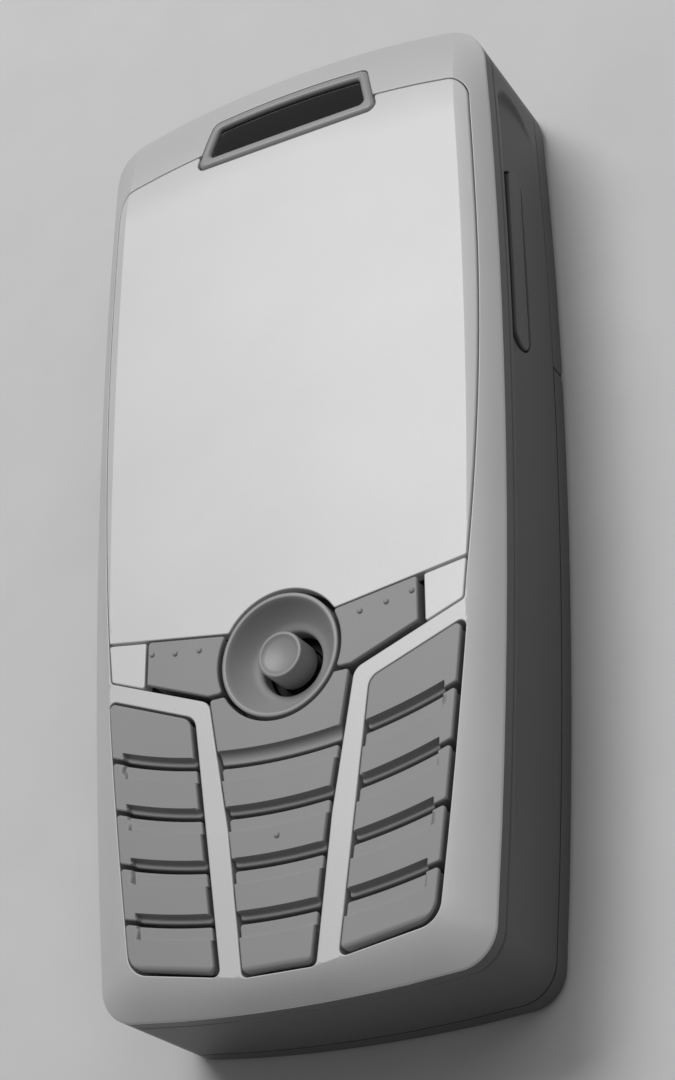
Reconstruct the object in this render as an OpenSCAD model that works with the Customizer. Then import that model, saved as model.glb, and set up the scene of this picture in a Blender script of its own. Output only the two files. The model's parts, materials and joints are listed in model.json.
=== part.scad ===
// Candy-bar feature phone, lying on its back with the keypad up.
// X runs to the right, Y to the earpiece end, Z out of the front. All sizes in millimetres.

/* [Body] */
// Overall length
body_l = 106; // [100:0.5:118]
// Greatest width
body_w = 47.6; // [46:0.2:54]
// Thickness from the back to the flat of the front
body_t = 18; // [17.4:0.2:22]
// Bow radius of the long sides
side_r = 726; // [500:2:1500]
// Height of the widest place above mid-length
wide_up = 20.5; // [5:0.5:30]
// Bow radius of the top end
top_r = 100; // [70:5:300]
// Bow radius of the bottom end
bottom_r = 175; // [100:5:400]
// Radius of the lower corners seen from the front
corner_r = 4; // [3.4:0.1:6]
// Radius of the upper corners seen from the front
top_corner_r = 5.6; // [3.4:0.1:6]
// Width of the sloping border round the flat of the front
border_w = 3.1; // [2:0.1:3.2]
// Drop of the border from the flat to the outer edge
border_drop = 2.2; // [1:0.1:2.8]
// Length of the slope that falls to the top edge
slope_l = 13; // [8:0.5:16]
// Rounding of the back edges
back_r = 1; // [0.6:0.1:2.6]
// Wall of the housings and covers
wall = 1.4; // [1.1:0.1:1.8]
// Thickness of the front plate
plate_t = 2.4; // [2:0.1:3]
// Depth of the front housing down to its parting line
front_h = 3.9; // [3.4:0.1:4.6]
// Depth of the two back covers
cover_h = 3.1; // [2.7:0.1:3.8]
// Thickness of the floor of the back covers
cover_t = 1.2; // [0.8:0.1:1.8]
// Height of the split between the back covers above mid-length
split_up = 14; // [8:0.5:18]

/* [Display] */
// Thickness of the lens
lens_t = 1.4; // [1.1:0.1:1.6]
// Distance of the lens from the top edge
lens_top = 7.7; // [6:0.1:10]
// Distance of the lens from the long edge at its widest
lens_side = 1.65; // [1.5:0.05:2.4]
// How much further the lens draws in at its lower corners
lens_draw = 1.5; // [0.5:0.1:2]
// Height of the lens's lowest line above the dish centre, on the middle line
lens_low = 2.6; // [1:0.1:4]
// Rise of that line per millimetre towards the sides
lens_rise = 0.152; // [0.05:0.01:0.2]
// Radius of the upper lens corners
lens_corner = 3; // [1:0.25:4]
// Width of the display module
display_w = 37; // [30:0.5:38]
// Length of the display module
display_l = 47; // [40:0.5:49]
// Gap between the display frame's sides and the housing's wall
frame_gap = 0.4; // [0.2:0.05:1]
// Wall of the display frame
frame_wall = 1.3; // [0.8:0.1:1.6]

/* [Earpiece] */
// Half width of the ring along its lower edge
ring_low = 11.3; // [8:0.1:13]
// Half width of the ring along its upper edge
ring_up = 9.7; // [7:0.1:12]
// Height of the ring
ring_h = 7.3; // [5:0.1:8]
// Width of the ring's band
ring_band = 1.4; // [1:0.1:1.8]
// Distance of the ring from the top edge
ring_top = 3.2; // [2.8:0.1:5]
// How far the ring stands out of the front
ring_proud = 0.15; // [0.05:0.05:0.8]
// How far the ring's seat lies below the lens's seat
ring_sink = 0.5; // [0.3:0.05:0.7]
// Thickness of the earpiece window
window_t = 0.4; // [0.3:0.05:0.6]
// Thickness of the earpiece receiver
receiver_h = 3; // [2:0.1:3.6]
// Width of the earpiece receiver
receiver_w = 12; // [9:0.5:15]
// Length of the earpiece receiver
receiver_l = 6; // [5:0.25:7]

/* [Keypad] */
// Height of the keypad's lower edge above the bottom edge
bezel_h = 2.7; // [2.2:0.1:4]
// Height of one key row
row_pitch = 5.1; // [4.8:0.05:5.3]
// Distance from the dish centre down to the lower edge of the first row
first_row = 10.6; // [10:0.1:11.4]
// Bow radius of the lower edge of the first row
row_r = 53; // [40:1:90]
// How much that radius grows towards the last row, with the square of the row's number
row_flat = 1.6; // [0:0.2:4]
// Gap between the rows
row_gap = 0.5; // [0.4:0.05:0.8]
// Gap between a key and the housing
key_gap = 0.3; // [0.2:0.05:0.4]
// How far the keys stand out of the front
key_proud = 0.45; // [0:0.05:0.6]
// Travel of a key
key_travel = 0.4; // [0.2:0.05:0.6]
// Height of the notch along the upper edge of a key
notch_h = 1.3; // [0.8:0.1:1.6]
// Depth of that notch
notch_d = 0.45; // [0.2:0.05:0.8]
// Rounding of the lower edge of a key
roll_r = 0.8; // [0.4:0.05:1]
// Width of the flush rim beside the notches of the outer keys
rim_w = 1.2; // [0.8:0.1:2]
// Distance of the outer keys from the long edge, beside the dish
keypad_side = 2.95; // [2.8:0.05:4]
// How much further they draw in per millimetre down the keypad
keypad_draw = 0.056; // [0.03:0.002:0.07]
// Radius of the keypad's lower corners
keypad_corner = 2.5; // [1:0.1:3]
// Width of the flange that holds a key under the plate
flange_w = 0.55; // [0.4:0.05:0.6]
// Thickness of that flange
flange_t = 0.9; // [0.6:0.05:1]

/* [Arms] */
// Distance of the arm's bend from the middle line
arm_bend_x = 7.94; // [7.6:0.02:8.4]
// Depth of the arm's bend below the dish centre
arm_bend_y = 3.2; // [3:0.1:3.6]
// Distance of the arm's foot from the middle line
arm_foot_x = 3.8; // [3.4:0.1:4.4]
// Bow of the arm
arm_bow = 0.4; // [0:0.05:0.6]
// Rise of the arm's upper branch per millimetre
arm_rise = 0.39; // [0.36:0.01:0.42]
// Width of the arm at its bend
arm_w = 1.8; // [1.7:0.05:2.1]
// Width of the arm at its foot
arm_foot_w = 2.3; // [2:0.05:2.6]
// Inner radius of the arm's bend
arm_bend_r = 1.6; // [0.8:0.1:2]

/* [Navigation] */
// Radius of the dish
dish_r = 6.4; // [6.1:0.05:6.7]
// Gap round the dish
dish_gap = 0.5; // [0.35:0.05:0.6]
// How far the rim stands out of the front
dish_proud = 0.4; // [0.1:0.05:0.8]
// Depth of the bowl below the rim
bowl_d = 2.6; // [1.8:0.1:2.8]
// Radius of the hole in the bowl
bowl_hole = 3.3; // [3:0.05:3.8]
// Radius of the joystick cap
cap_r = 2.4; // [2:0.05:2.5]
// Height of the joystick cap
cap_h = 3.2; // [2.6:0.1:3.4]
// Half width across the left and right softkeys, to their outer ends
softkey_end = 15.36; // [14:0.05:16]
// Depth of the line between the softkeys and the clear key, below the dish centre
softkey_low = 2.8; // [2.4:0.05:3]

/* [Side key] */
// Length of the side key
side_key_l = 21.8; // [16:0.2:24]
// Height of the side key
side_key_h = 3.3; // [2.6:0.1:3.6]
// Height of its middle above mid-length
side_key_up = 23.7; // [20:0.1:26]
// Depth of the scoop it lies in
scoop_d = 0.7; // [0.4:0.05:0.8]
// Radius of that scoop
scoop_r = 12; // [9:0.5:16]

/* [Inside] */
// Depth of the main board's front face below the plate
board_drop = 4; // [3.7:0.1:4.6]
// Thickness of the main board
board_t = 1; // [0.8:0.1:1.2]
// Height of a key dome
dome_h = 0.3; // [0.2:0.05:0.4]
// Thickness of the keypad mat
mat_t = 0.9; // [0.6:0.05:1]
// Thickness of the battery
battery_t = 4.8; // [4:0.1:5.2]
// Width of the battery
battery_w = 33; // [28:0.5:34]
// Thickness of the SIM card
sim_t = 0.8; // [0.6:0.05:0.9]
// Width of the SIM card
sim_w = 25; // [20:0.5:26]
// Length of the SIM card
sim_l = 15; // [12:0.5:16]
// Thickness of the floor between the battery and the main board
floor_t = 0.8; // [0.6:0.05:1]
// Radius of a housing screw's shank
screw_r = 0.6; // [0.5:0.05:0.7]
// Radius of a housing screw's head
screw_head_r = 1.1; // [0.9:0.05:1.2]
// Height of the loudspeaker
speaker_h = 3.2; // [2.4:0.1:4]
// Radius of the loudspeaker
speaker_r = 7; // [5:0.25:8]
// Radius of the vibration motor
motor_r = 2; // [1.6:0.1:2.4]
// Length of the vibration motor
motor_l = 9; // [7:0.25:10]
// Width of the charging socket
socket_w = 8; // [6:0.25:10]
// Depth of the charging socket
socket_l = 6.5; // [5:0.25:8]
// Distance of the charging socket's middle below the dish centre
socket_down = 11; // [6:0.5:14]

/* [Hidden] */
$fn = 64;

KEYS = [["key_call", "key_clear", "key_end"], ["key_1", "key_2", "key_3"], ["key_4", "key_5", "key_6"],
    ["key_7", "key_8", "key_9"], ["key_star", "key_0", "key_hash"]];
LAST_ROW = len(KEYS) - 1;

// Clearances
fit = 0.05;
seat = 0.1;
loose = 0.2;
eps = 0.01;

// Heights of the layers
z_parting = body_t - front_h;
z_plate = body_t - plate_t;
z_pocket = body_t - lens_t;
z_ring = z_pocket - ring_sink;
z_key = body_t + key_proud;
z_flange = z_plate - seat;
z_flange_low = z_flange - flange_t;
z_board = z_plate - board_drop;
z_board_back = z_board - board_t;
z_mat = z_board + dome_h;
z_plunger = z_mat + mat_t + key_travel + seat;
z_battery = cover_t + loose;
z_battery_top = z_battery + battery_t;
z_floor = z_battery_top + sim_t + 0.4;
z_floor_top = z_floor + floor_t;
back_room = z_board_back - z_floor_top;

// Places along the length
y_low = -body_l / 2;
y_top = body_l / 2;
dish_y = y_low + bezel_h + LAST_ROW * row_pitch + first_row;
keypad_low = y_low + bezel_h;
function row_y(k) = dish_y - first_row - k * row_pitch;
function row_bow(k) = row_r + row_flat * k ^ 2;

// Polygons are lists of [x, y, corner radius], anticlockwise
arc_steps = 5;
function xy(p) = [p.x, p.y];
function unit(v) = v / norm(v);
function right_of(a, b) = unit([b.y - a.y, a.x - b.x]);
function turn(a, b, c) = (b.x - a.x) * (c.y - b.y) - (b.y - a.y) * (c.x - b.x);
// Corner b of the path a, b, c with both its edges moved to the right by d
function mitre(a, b, c, d) = let (m = right_of(a, b), n = right_of(b, c)) xy(b) + d * (m + n) / (1 + m * n);
function at(list, i) = list[(i + len(list)) % len(list)];
function grow(list, d) = [for (i = [0:len(list) - 1])
    let (a = at(list, i - 1), b = list[i], c = at(list, i + 1), m = mitre(a, b, c, d))
    [m.x, m.y, b.z > 0 ? max(0.15, b.z + sign(turn(a, b, c)) * d) : 0]];
function corner(a, b, c, r) =
    let (u = unit(xy(a) - xy(b)), v = unit(xy(c) - xy(b)), half = acos(u * v) / 2,
        o = xy(b) + unit(u + v) * r / sin(half), p = xy(b) + u * r / tan(half) - o,
        start = atan2(p.y, p.x), step = sign(turn(a, b, c)) * (180 - 2 * half) / arc_steps)
    [for (i = [0:arc_steps]) o + r * [cos(start + step * i), sin(start + step * i)]];
function rounded(list) = [for (i = [0:len(list) - 1]) let (b = list[i])
    each (b.z > 0 ? corner(at(list, i - 1), b, at(list, i + 1), b.z) : [xy(b)])];
function flip(list) = [for (i = [len(list) - 1:-1:0]) [-list[i].x, list[i].y, list[i].z]];

// Outline of the phone seen from the front
function half_x(y) = body_w / 2 - side_r + sqrt(side_r ^ 2 - (y - wide_up) ^ 2);
function top_line(x) = y_top - top_r + sqrt(top_r ^ 2 - x ^ 2);
function bottom_line(x) = y_low + bottom_r - sqrt(bottom_r ^ 2 - x ^ 2);
low_corner_y = bottom_line(half_x(y_low));
top_corner_y = top_line(half_x(y_top));
low_corner_x = half_x(low_corner_y);
top_corner_x = half_x(top_corner_y);
side_steps = 10;
end_steps = 6;
right_side = [for (i = [1:side_steps - 1])
    let (y = low_corner_y + (top_corner_y - low_corner_y) * i / side_steps) [half_x(y), y, 0]];
outline = concat(
    [for (i = [1:end_steps - 1]) let (x = low_corner_x * (2 * i / end_steps - 1)) [x, bottom_line(x), 0]],
    [[low_corner_x, low_corner_y, corner_r]], right_side, [[top_corner_x, top_corner_y, top_corner_r]],
    [for (i = [1:end_steps - 1]) let (x = top_corner_x * (1 - 2 * i / end_steps)) [x, top_line(x), 0]],
    [[-top_corner_x, top_corner_y, top_corner_r]], flip(right_side), [[-low_corner_x, low_corner_y, corner_r]]);
// The same outline with its top end moved up by rise
function raised(rise) = let (k = half_x(top_corner_y + rise) / half_x(top_corner_y))
    [for (p = outline) p.y < top_corner_y - eps ? p : [p.x * k, p.y + rise, p.z]];
function ring(inset, rise = 0) = rounded(grow(raised(rise), -inset));

// Openings in the front
function arm_line(x) = dish_y - arm_bend_y + arm_rise * (x - arm_bend_x);
function lens_line(x) = dish_y + lens_low + lens_rise * abs(x);
lens_full_y = wide_up + 5;
function lens_edge(y) = half_x(y) - lens_side
    - lens_draw * (max(0, lens_full_y - y) / (lens_full_y - dish_y - lens_low)) ^ 2;
function keypad_edge(y) = half_x(y) - keypad_side - keypad_draw * (dish_y - y);
arm_bend = [arm_bend_x, dish_y - arm_bend_y];
arm_foot = [arm_foot_x, keypad_low];
arm_mid = (arm_bend + arm_foot) / 2 - [arm_bow, 0];
softkey_corner = [softkey_end, arm_line(softkey_end)];
centre_right = [[arm_foot.x, arm_foot.y, 0.6], [arm_mid.x, arm_mid.y, 0],
    [arm_bend.x, arm_bend.y, arm_bend_r],
    [softkey_corner.x, softkey_corner.y, 0], [softkey_end, lens_line(softkey_end), 0]];
centre_opening = concat(centre_right, [[0, lens_line(0), 0]], flip(centre_right));

outer_bend = mitre(arm_mid, arm_bend, softkey_corner, arm_w);
foot_step = 0.4;
outer_foot = [arm_foot_x + arm_foot_w, keypad_low + foot_step];
outer_top_y = outer_bend.y + arm_rise * (half_x(dish_y) - keypad_side - outer_bend.x);
corner_step = 2.1;
outer_low_y = keypad_low + corner_step;
outer_opening = concat(
    [[outer_foot.x, outer_foot.y, 0.6], [keypad_edge(outer_low_y), outer_low_y, keypad_corner]],
    [for (i = [1:3]) let (y = outer_low_y + (outer_top_y - outer_low_y) * i / 4) [keypad_edge(y), y, 0]],
    [[keypad_edge(outer_top_y), outer_top_y, 0.5], [outer_bend.x, outer_bend.y, arm_bend_r]]);

trim_low_x = lens_edge(arm_line(lens_edge(dish_y)));
trim_low = [trim_low_x, arm_line(trim_low_x)];
trim_high_x = lens_edge(lens_line(lens_edge(dish_y)));
trim_high = [trim_high_x, lens_line(trim_high_x)];
trim_shape = [[softkey_corner.x, softkey_corner.y, 0.3], [trim_low.x, trim_low.y, 0.3],
    [trim_high.x, trim_high.y, 0], [softkey_end, lens_line(softkey_end), 0]];
function lens_top_line(x) = top_line(x) - lens_top;
lens_top_x = lens_edge(lens_top_line(half_x(y_top)));
lens_side_steps = 8;
lens_side_step = (lens_top_line(lens_top_x) - trim_high.y) / lens_side_steps;
lens_side_points = [for (i = [1:lens_side_steps - 1])
    let (y = trim_high.y + lens_side_step * i) [lens_edge(y), y, 0]];
lens_top_points = [for (i = [1:end_steps - 1])
    let (x = lens_top_x * (1 - 2 * i / end_steps)) [x, lens_top_line(x), 0]];
lens_right = concat([[trim_high.x, trim_high.y, 0]], lens_side_points,
    [[lens_top_x, lens_top_line(lens_top_x), lens_corner]]);
lens_shape = concat([[0, lens_line(0), 0]], lens_right, lens_top_points, flip(lens_right));
// Recess that takes the lens and both trims, and runs out into the opening between them
pocket_right = concat([[softkey_corner.x - 2, softkey_corner.y + 2, 0],
    [softkey_corner.x, softkey_corner.y, 0],
    [trim_low.x, trim_low.y, 0.3]], lens_right);
pocket_shape = concat(pocket_right, lens_top_points, flip(pocket_right));

function ring_up_line(x) = top_line(x) - ring_top;
ring_low_y = ring_up_line(0) - ring_h;
ring_corner = 1;
ring_up_points = [for (i = [1:end_steps - 1])
    let (x = ring_up * (1 - 2 * i / end_steps)) [x, ring_up_line(x), 0]];
ring_shape = concat([[-ring_low, ring_low_y, ring_corner], [ring_low, ring_low_y, ring_corner],
    [ring_up, ring_up_line(ring_up), ring_corner]], ring_up_points,
    [[-ring_up, ring_up_line(ring_up), ring_corner]]);
ring_hole = grow(ring_shape, -ring_band);
ring_mid_y = ring_low_y + ring_h / 2;

// Display, midway between the softkeys' flanges and the earpiece receiver
sound_slot = 1.4;
display_mid = (lens_line(softkey_end) + flange_w + ring_mid_y - receiver_l / 2) / 2;
display_low = display_mid - display_l / 2;
display_top = display_mid + display_l / 2;
display_x = display_w / 2;
frame_low = display_low - seat - frame_wall;
frame_x = half_x(frame_low) - wall - frame_gap;
window_rim = 1.5;
window_x = display_x - window_rim;

// Screws and the posts that they pass through
post_r = 1.6;
boss_r = screw_r + 0.5;
post_in = 1.2;
screw_low_y = keypad_low + 3.1;
screw_top_y = y_top - 7;
function screw_place(y) = [half_x(y) - wall - post_in, y, 0];
screw_places = [for (y = [screw_low_y, screw_top_y]) for (s = [-1, 1]) [s * screw_place(y).x, y, 0]];
screw_head_h = 0.8;
z_screw_head = z_floor_top - screw_head_h;
boss_depth = 3;

// Side key
side_wall_x = half_x(side_key_up);
side_inner_x = side_wall_x - wall;
side_key_z = z_board_back - 1;
side_face_x = side_wall_x - scoop_d + 0.3;
side_back_x = side_inner_x - 0.9;
switch_t = 0.5;
side_board_t = 0.8;
side_board_x = side_back_x - 0.4 - switch_t - side_board_t;
switch_apart = side_key_l * 0.32;
board_notch = side_key_l + 1;

// Navigation
z_rim = body_t + dish_proud;
z_bowl = z_rim - bowl_d;
skirt_t = 0.8;
z_pivot = z_board + 1.4;
base_w = 7.4;
base_h = 2.4;
base_hole = 3.3;
carriage_r = base_hole - loose;
gimbal_r = 2.2;
hub_r = 1.2;
pin_r = 0.25;
stem_r = 0.9;
z_cap = body_t + 0.25;
z_cap_low = z_cap - cap_h;
stem_depth = 1.4;

// Battery bay
cross_wall_t = 1.2;
cross_wall_y = split_up - cross_wall_t - loose;
contact_l = 1.1;
battery_top_y = cross_wall_y - contact_l - fit;
battery_low_y = screw_low_y + post_r + 0.3;
battery_stop_t = 0.8;

// Pieces of the upper back
motor_y = split_up + 7.5;
motor_x = -8;
motor_z = z_board_back - motor_r - seat;
weight_l = 2.4;
weight_r = motor_r - 0.1;
weight_x = motor_x - motor_l / 2 - 0.3 - weight_l;
shaft_r = 0.35;
upper_gap = 1.5;
speaker_place = [speaker_r + 0.5, split_up + speaker_r + 2 * upper_gap, 0];
antenna_low_y = speaker_place.y + speaker_r + upper_gap;
antenna_top_y = screw_top_y + 2 * upper_gap;
antenna_wall = 1;

socket_y = dish_y - socket_down;
socket_h = back_room - loose;
socket_wall = 0.45;

module slab(list, z0, z1) {
    translate([0, 0, z0]) linear_extrude(z1 - z0) polygon(list);
}

module peg(place, r, z0, z1) {
    translate([place.x, place.y, z0]) cylinder(r = r, h = z1 - z0);
}

module block(x0, x1, y0, y1, z0, z1) {
    translate([x0, y0, z0]) cube([x1 - x0, y1 - y0, z1 - z0]);
}

module both_sides() {
    children();
    mirror([1, 0, 0]) children();
}

// Solid through rings of the outline, each given as [inset, height], with the top end moved up by rise
module loft(profile, rise = 0) {
    rings = [for (p = profile) ring(p[0], rise)];
    n = len(rings[0]);
    last = len(profile) - 1;
    points = [for (k = [0:last]) for (q = rings[k]) [q.x, q.y, profile[k][1]]];
    sides = [for (k = [0:last - 1]) for (i = [0:n - 1]) let (j = (i + 1) % n)
        each [[k * n + i, (k + 1) * n + i, (k + 1) * n + j], [k * n + i, (k + 1) * n + j, k * n + j]]];
    low = [for (i = [0:n - 1]) i];
    high = [for (i = [n - 1:-1:0]) last * n + i];
    polyhedron(points, concat([low], sides, [high]));
}

// Everything below the flat of the front and its slope to the top edge, both moved up by lift
slope_steps = 6;
module under_slope(lift) {
    fall = [for (i = [slope_steps:-1:0])
        let (s = i / slope_steps) [top_r - slope_l * (1 - s), body_t + lift - border_drop * s ^ 2]];
    reach = top_r + 1;
    translate([0, y_top - top_r, 0]) rotate_extrude($fn = 240)
        polygon(concat([[0, 0], [reach, 0], [reach, fall[0].y]], fall, [[0, body_t + lift]]));
}

// Shares of the border's width, from beyond the outer edge to inside the flat
border_shares = [1.16, 0.8, 0.6, 0.4, 0.2, -0.1];
function border_fall(s) = border_drop * (0.51 * s + 0.49 * s ^ 2);
module front_form() {
    border = [for (s = border_shares) [border_w * (1 - s), body_t - border_fall(s)]];
    intersection() {
        slab(ring(0), z_parting, body_t + 1);
        loft(concat([[border[0].x, z_parting - 1]], border), 4 * border_w);
        under_slope(0);
    }
}

back_steps = 4;
module back_form(z_up) {
    rounding = [for (i = [0:back_steps]) let (a = 90 * i / back_steps) back_r * [1 - sin(a), 1 - cos(a)]];
    loft(concat(rounding, [[0, z_up]]));
}

module dish_round(z0, z1, gap) {
    peg([0, dish_y, 0], dish_r + gap, z0, z1);
}

module front_housing() {
    color("gainsboro") difference() {
        union() {
            difference() {
                front_form();
                slab(ring(wall), z_parting - 1, z_plate);
            }
            for (p = screw_places) peg(p, boss_r, z_board, z_plate + eps);
        }
        slab(rounded(pocket_shape), z_pocket, body_t + 1);
        slab(rounded(ring_shape), z_ring, body_t + 1);
        block(-receiver_w / 3, receiver_w / 3, ring_mid_y - sound_slot / 2, ring_mid_y + sound_slot / 2,
            z_plate - 1, body_t);
        block(-window_x, window_x, display_low + window_rim, display_top - window_rim, z_plate - 1, body_t);
        slab(rounded(centre_opening), z_plate - 1, body_t + 1);
        both_sides() slab(rounded(outer_opening), z_plate - 1, body_t + 1);
        dish_round(z_plate - 1, body_t + 1, dish_gap);
        for (p = screw_places) peg(p, screw_r + fit, z_board - 1, z_board + boss_depth + fit);
    }
}

module rear_housing() {
    color("dimgray") difference() {
        union() {
            difference() {
                slab(ring(0), cover_h, z_parting);
                slab(ring(wall), cover_h - 1, z_parting + 1);
            }
            intersection() {
                slab(ring(wall - eps), cover_h, z_board_back);
                union() {
                    block(-body_w, body_w, y_low, cross_wall_y + cross_wall_t, z_floor, z_floor_top);
                    block(-body_w, body_w, cross_wall_y, cross_wall_y + cross_wall_t, cover_h, z_floor_top);
                    block(-body_w, body_w, battery_low_y - fit - battery_stop_t, battery_low_y - fit,
                        cover_h, z_floor_top);
                    both_sides() block(battery_w / 2 - 2, battery_w / 2 - 1, battery_low_y, battery_top_y,
                        z_battery_top, z_floor_top);
                    for (p = screw_places) peg(p, post_r, cover_h, z_board_back);
                }
            }
        }
        for (p = screw_places) {
            peg(p, screw_r + seat, z_floor, z_board_back + 1);
            peg(p, screw_head_r + loose, cover_h - 1, z_floor_top);
        }
        translate([side_wall_x - scoop_d + scoop_r, 0, side_key_z]) rotate([90, 0, 0])
            cylinder(r = scoop_r, h = 2 * body_l, center = true, $fn = 128);
        side_slot(side_inner_x - 3, body_w, loose);
        block(-body_w, -half_x(socket_y) + socket_l,
            socket_y - socket_w / 2 - seat, socket_y + socket_w / 2 + seat,
            z_floor_top + seat, z_board_back + seat);
    }
}

module back_cover_shell(z_up) {
    difference() {
        back_form(z_up);
        slab(ring(wall), cover_t, cover_h + 1);
    }
}

module upper_back_cover() {
    color("dimgray") difference() {
        back_cover_shell(cover_h);
        block(-body_w, body_w, -body_l, split_up + seat, -1, cover_h + 1);
        for (i = [-2:2]) peg(speaker_place + [i * 2, 0, 0], 0.6, -1, cover_h);
    }
}

module battery_cover() {
    color("dimgray") difference() {
        back_cover_shell(cover_h - seat);
        block(-body_w, body_w, split_up - seat, body_l, -1, cover_h + 1);
    }
}

module display_lens() {
    color("whitesmoke") difference() {
        intersection() {
            front_form();
            slab(rounded(grow(lens_shape, -seat)), z_pocket, body_t + 1);
        }
        slab(rounded(grow(ring_shape, seat)), z_pocket - 1, body_t + 1);
        dish_round(z_pocket - 1, body_t + 1, dish_gap);
    }
}

module trim_right() {
    color("whitesmoke") intersection() {
        front_form();
        slab(rounded(grow(trim_shape, -seat)), z_pocket, body_t + 1);
    }
}

module trim_left() {
    mirror([1, 0, 0]) trim_right();
}

module display_module() {
    color("black") block(-display_x, display_x, display_low, display_top, z_board, z_plate - loose);
}

module display_frame() {
    inner = display_x + seat;
    color("silver") difference() {
        block(-frame_x, frame_x, frame_low, display_top + seat + frame_wall, z_board, z_plate);
        block(-inner, inner, display_low - seat, display_top + seat, z_board - 1, z_plate + 1);
    }
}

module earpiece_ring() {
    color("gray") difference() {
        intersection() {
            slab(rounded(grow(ring_shape, -fit)), z_ring, body_t + 1);
            under_slope(ring_proud);
        }
        slab(rounded(ring_hole), z_ring - 1, body_t + 2);
    }
}

module earpiece_window() {
    color("black") slab(rounded(grow(ring_hole, -fit)), z_ring, z_ring + window_t);
}

module earpiece_receiver() {
    color("silver") block(-receiver_w / 2, receiver_w / 2,
        ring_mid_y - receiver_l / 2, ring_mid_y + receiver_l / 2, z_plate - receiver_h, z_plate);
}

// Round of row k: everything above the lower edge of that row, moved down by d
module row_round(k, d, z0, z1) {
    translate([0, row_y(k) + row_bow(k), z0]) cylinder(r = row_bow(k) + d, h = z1 - z0, $fn = 240);
}

// Stretch of an opening that belongs to row k
module row_piece(opening, k, z0, z1) {
    difference() {
        intersection() {
            slab(rounded(opening), z0, z1);
            row_round(k, k < LAST_ROW ? -row_gap / 2 : row_pitch, z0, z1);
        }
        if (k > 0) row_round(k - 1, row_gap / 2, z0 - 1, z1 + 1);
    }
}

// Ring that takes the lower edge of row k off to a round
module roll_cut(k) {
    translate([0, row_y(k) + row_bow(k), z_key - roll_r]) rotate_extrude($fn = 240)
        translate([row_bow(k) - row_gap / 2 - roll_r, 0]) difference() {
            square(roll_r + 0.1);
            circle(r = roll_r, $fn = 48);
        }
}

// Key of row k in a column whose rolls and notches stop short of the outer edge by rim
module column_key(opening, k, rim, place) {
    inner = [for (p = opening) [p.x - rim, p.y, p.z]];
    difference() {
        row_piece(grow(opening, -key_gap), k, z_flange_low, z_key);
        if (k > 0) intersection() {
            row_round(k - 1, row_gap / 2 + notch_h, z_key - notch_d, z_key + 1);
            slab(rounded(inner), z_key - notch_d, z_key + 1);
        }
        if (k < LAST_ROW) intersection() {
            roll_cut(k);
            slab(rounded(inner), z_key - roll_r, z_key + 1);
        }
    }
    row_piece(grow(opening, flange_w), k, z_flange_low, z_flange);
    peg(place, plunger_r, z_plunger, z_flange_low + eps);
}

plunger_r = 1.2;
function key_y(k) = row_y(k) + row_pitch / 2;
function outer_key_x(k) = (arm_bend_x + arm_foot_x) / 4 + keypad_edge(key_y(k)) / 2;
// The clear key's plunger stands between the dish and the first row's lower edge
function centre_key_y(k) = k > 0 ? key_y(k) : dish_y - (dish_r + dish_gap + first_row) / 2;
function key_place(k, c) = [(c - 1) * (outer_key_x(k) + 0.6), c == 1 ? centre_key_y(k) : key_y(k) + 1.4, 0];
softkey_place = [softkey_end * 0.75, dish_y + 1.2, 0];
dot_r = 0.3;
dot_h = 0.2;

module keypad_key(k, c) {
    side = c == 0 ? 1 : 0;
    color("darkgray") {
        if (c == 1) difference() {
            union() {
                column_key(centre_opening, k, 0, key_place(k, c));
                if (k == 2) peg([0, key_y(k) + 0.4, 0], dot_r, z_key - eps, z_key + dot_h);
            }
            if (k == 0) {
                dish_round(z_plunger - 1, z_key + 1, dish_gap);
                block(-body_w, body_w, dish_y - softkey_low - row_gap, y_top, z_plunger - 1, z_key + 1);
            }
        }
        if (c != 1) mirror([side, 0, 0]) column_key(outer_opening, k, rim_w, key_place(k, 2));
    }
}

module softkey_right() {
    color("darkgray") {
        difference() {
            union() {
                slab(rounded(grow(centre_opening, -key_gap)), z_flange_low, z_key);
                slab(rounded(grow(centre_opening, flange_w)), z_flange_low, z_flange);
            }
            block(-body_w, dish_r / 2, y_low, y_top, z_flange_low - 1, z_key + 1);
            block(-body_w, body_w, y_low, dish_y - softkey_low, z_flange_low - 1, z_key + 1);
            dish_round(z_flange_low - 1, z_key + 1, dish_gap);
        }
        peg(softkey_place, plunger_r, z_plunger, z_flange_low + eps);
        for (i = [0:2]) let (x = softkey_end - 1 - i * 2.75)
            peg([x, lens_line(x) - 1.5, 0], dot_r, z_key - eps, z_key + dot_h);
    }
}

module softkey_left() {
    mirror([1, 0, 0]) softkey_right();
}

bowl_steps = 8;
bowl_lip = 0.4;
module nav_dish() {
    bowl = [for (i = [0:bowl_steps]) let (u = 1 - i / bowl_steps)
        [bowl_hole + (dish_r - bowl_lip - bowl_hole) * u, z_bowl + bowl_d * u ^ 2]];
    color("gray") translate([0, dish_y, 0]) rotate_extrude()
        polygon(concat([[dish_r, z_board], [dish_r, z_rim]], bowl,
            [[bowl_hole, z_bowl - skirt_t], [dish_r - skirt_t, z_bowl - skirt_t],
            [dish_r - skirt_t, z_board]]));
}

module joystick_base() {
    color("silver") difference() {
        block(-base_w / 2, base_w / 2, dish_y - base_w / 2, dish_y + base_w / 2, z_board, z_board + base_h);
        peg([0, dish_y, 0], base_hole, z_board + 0.2, z_board + base_h + 1);
    }
}

// Pair of pins through the pivot, along X
module pin_pair(r, from, to) {
    for (s = [0, 180]) rotate([0, 0, s]) translate([from, 0, 0]) rotate([0, 90, 0])
        cylinder(r = r, h = to - from);
}

module joystick_carriage() {
    h = 1.2;
    color("dimgray") translate([0, dish_y, z_pivot]) difference() {
        cylinder(r = carriage_r, h = h, center = true);
        cylinder(r = gimbal_r + loose, h = 2 * h, center = true);
        pin_pair(pin_r + fit, gimbal_r, carriage_r + 1);
    }
}

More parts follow.
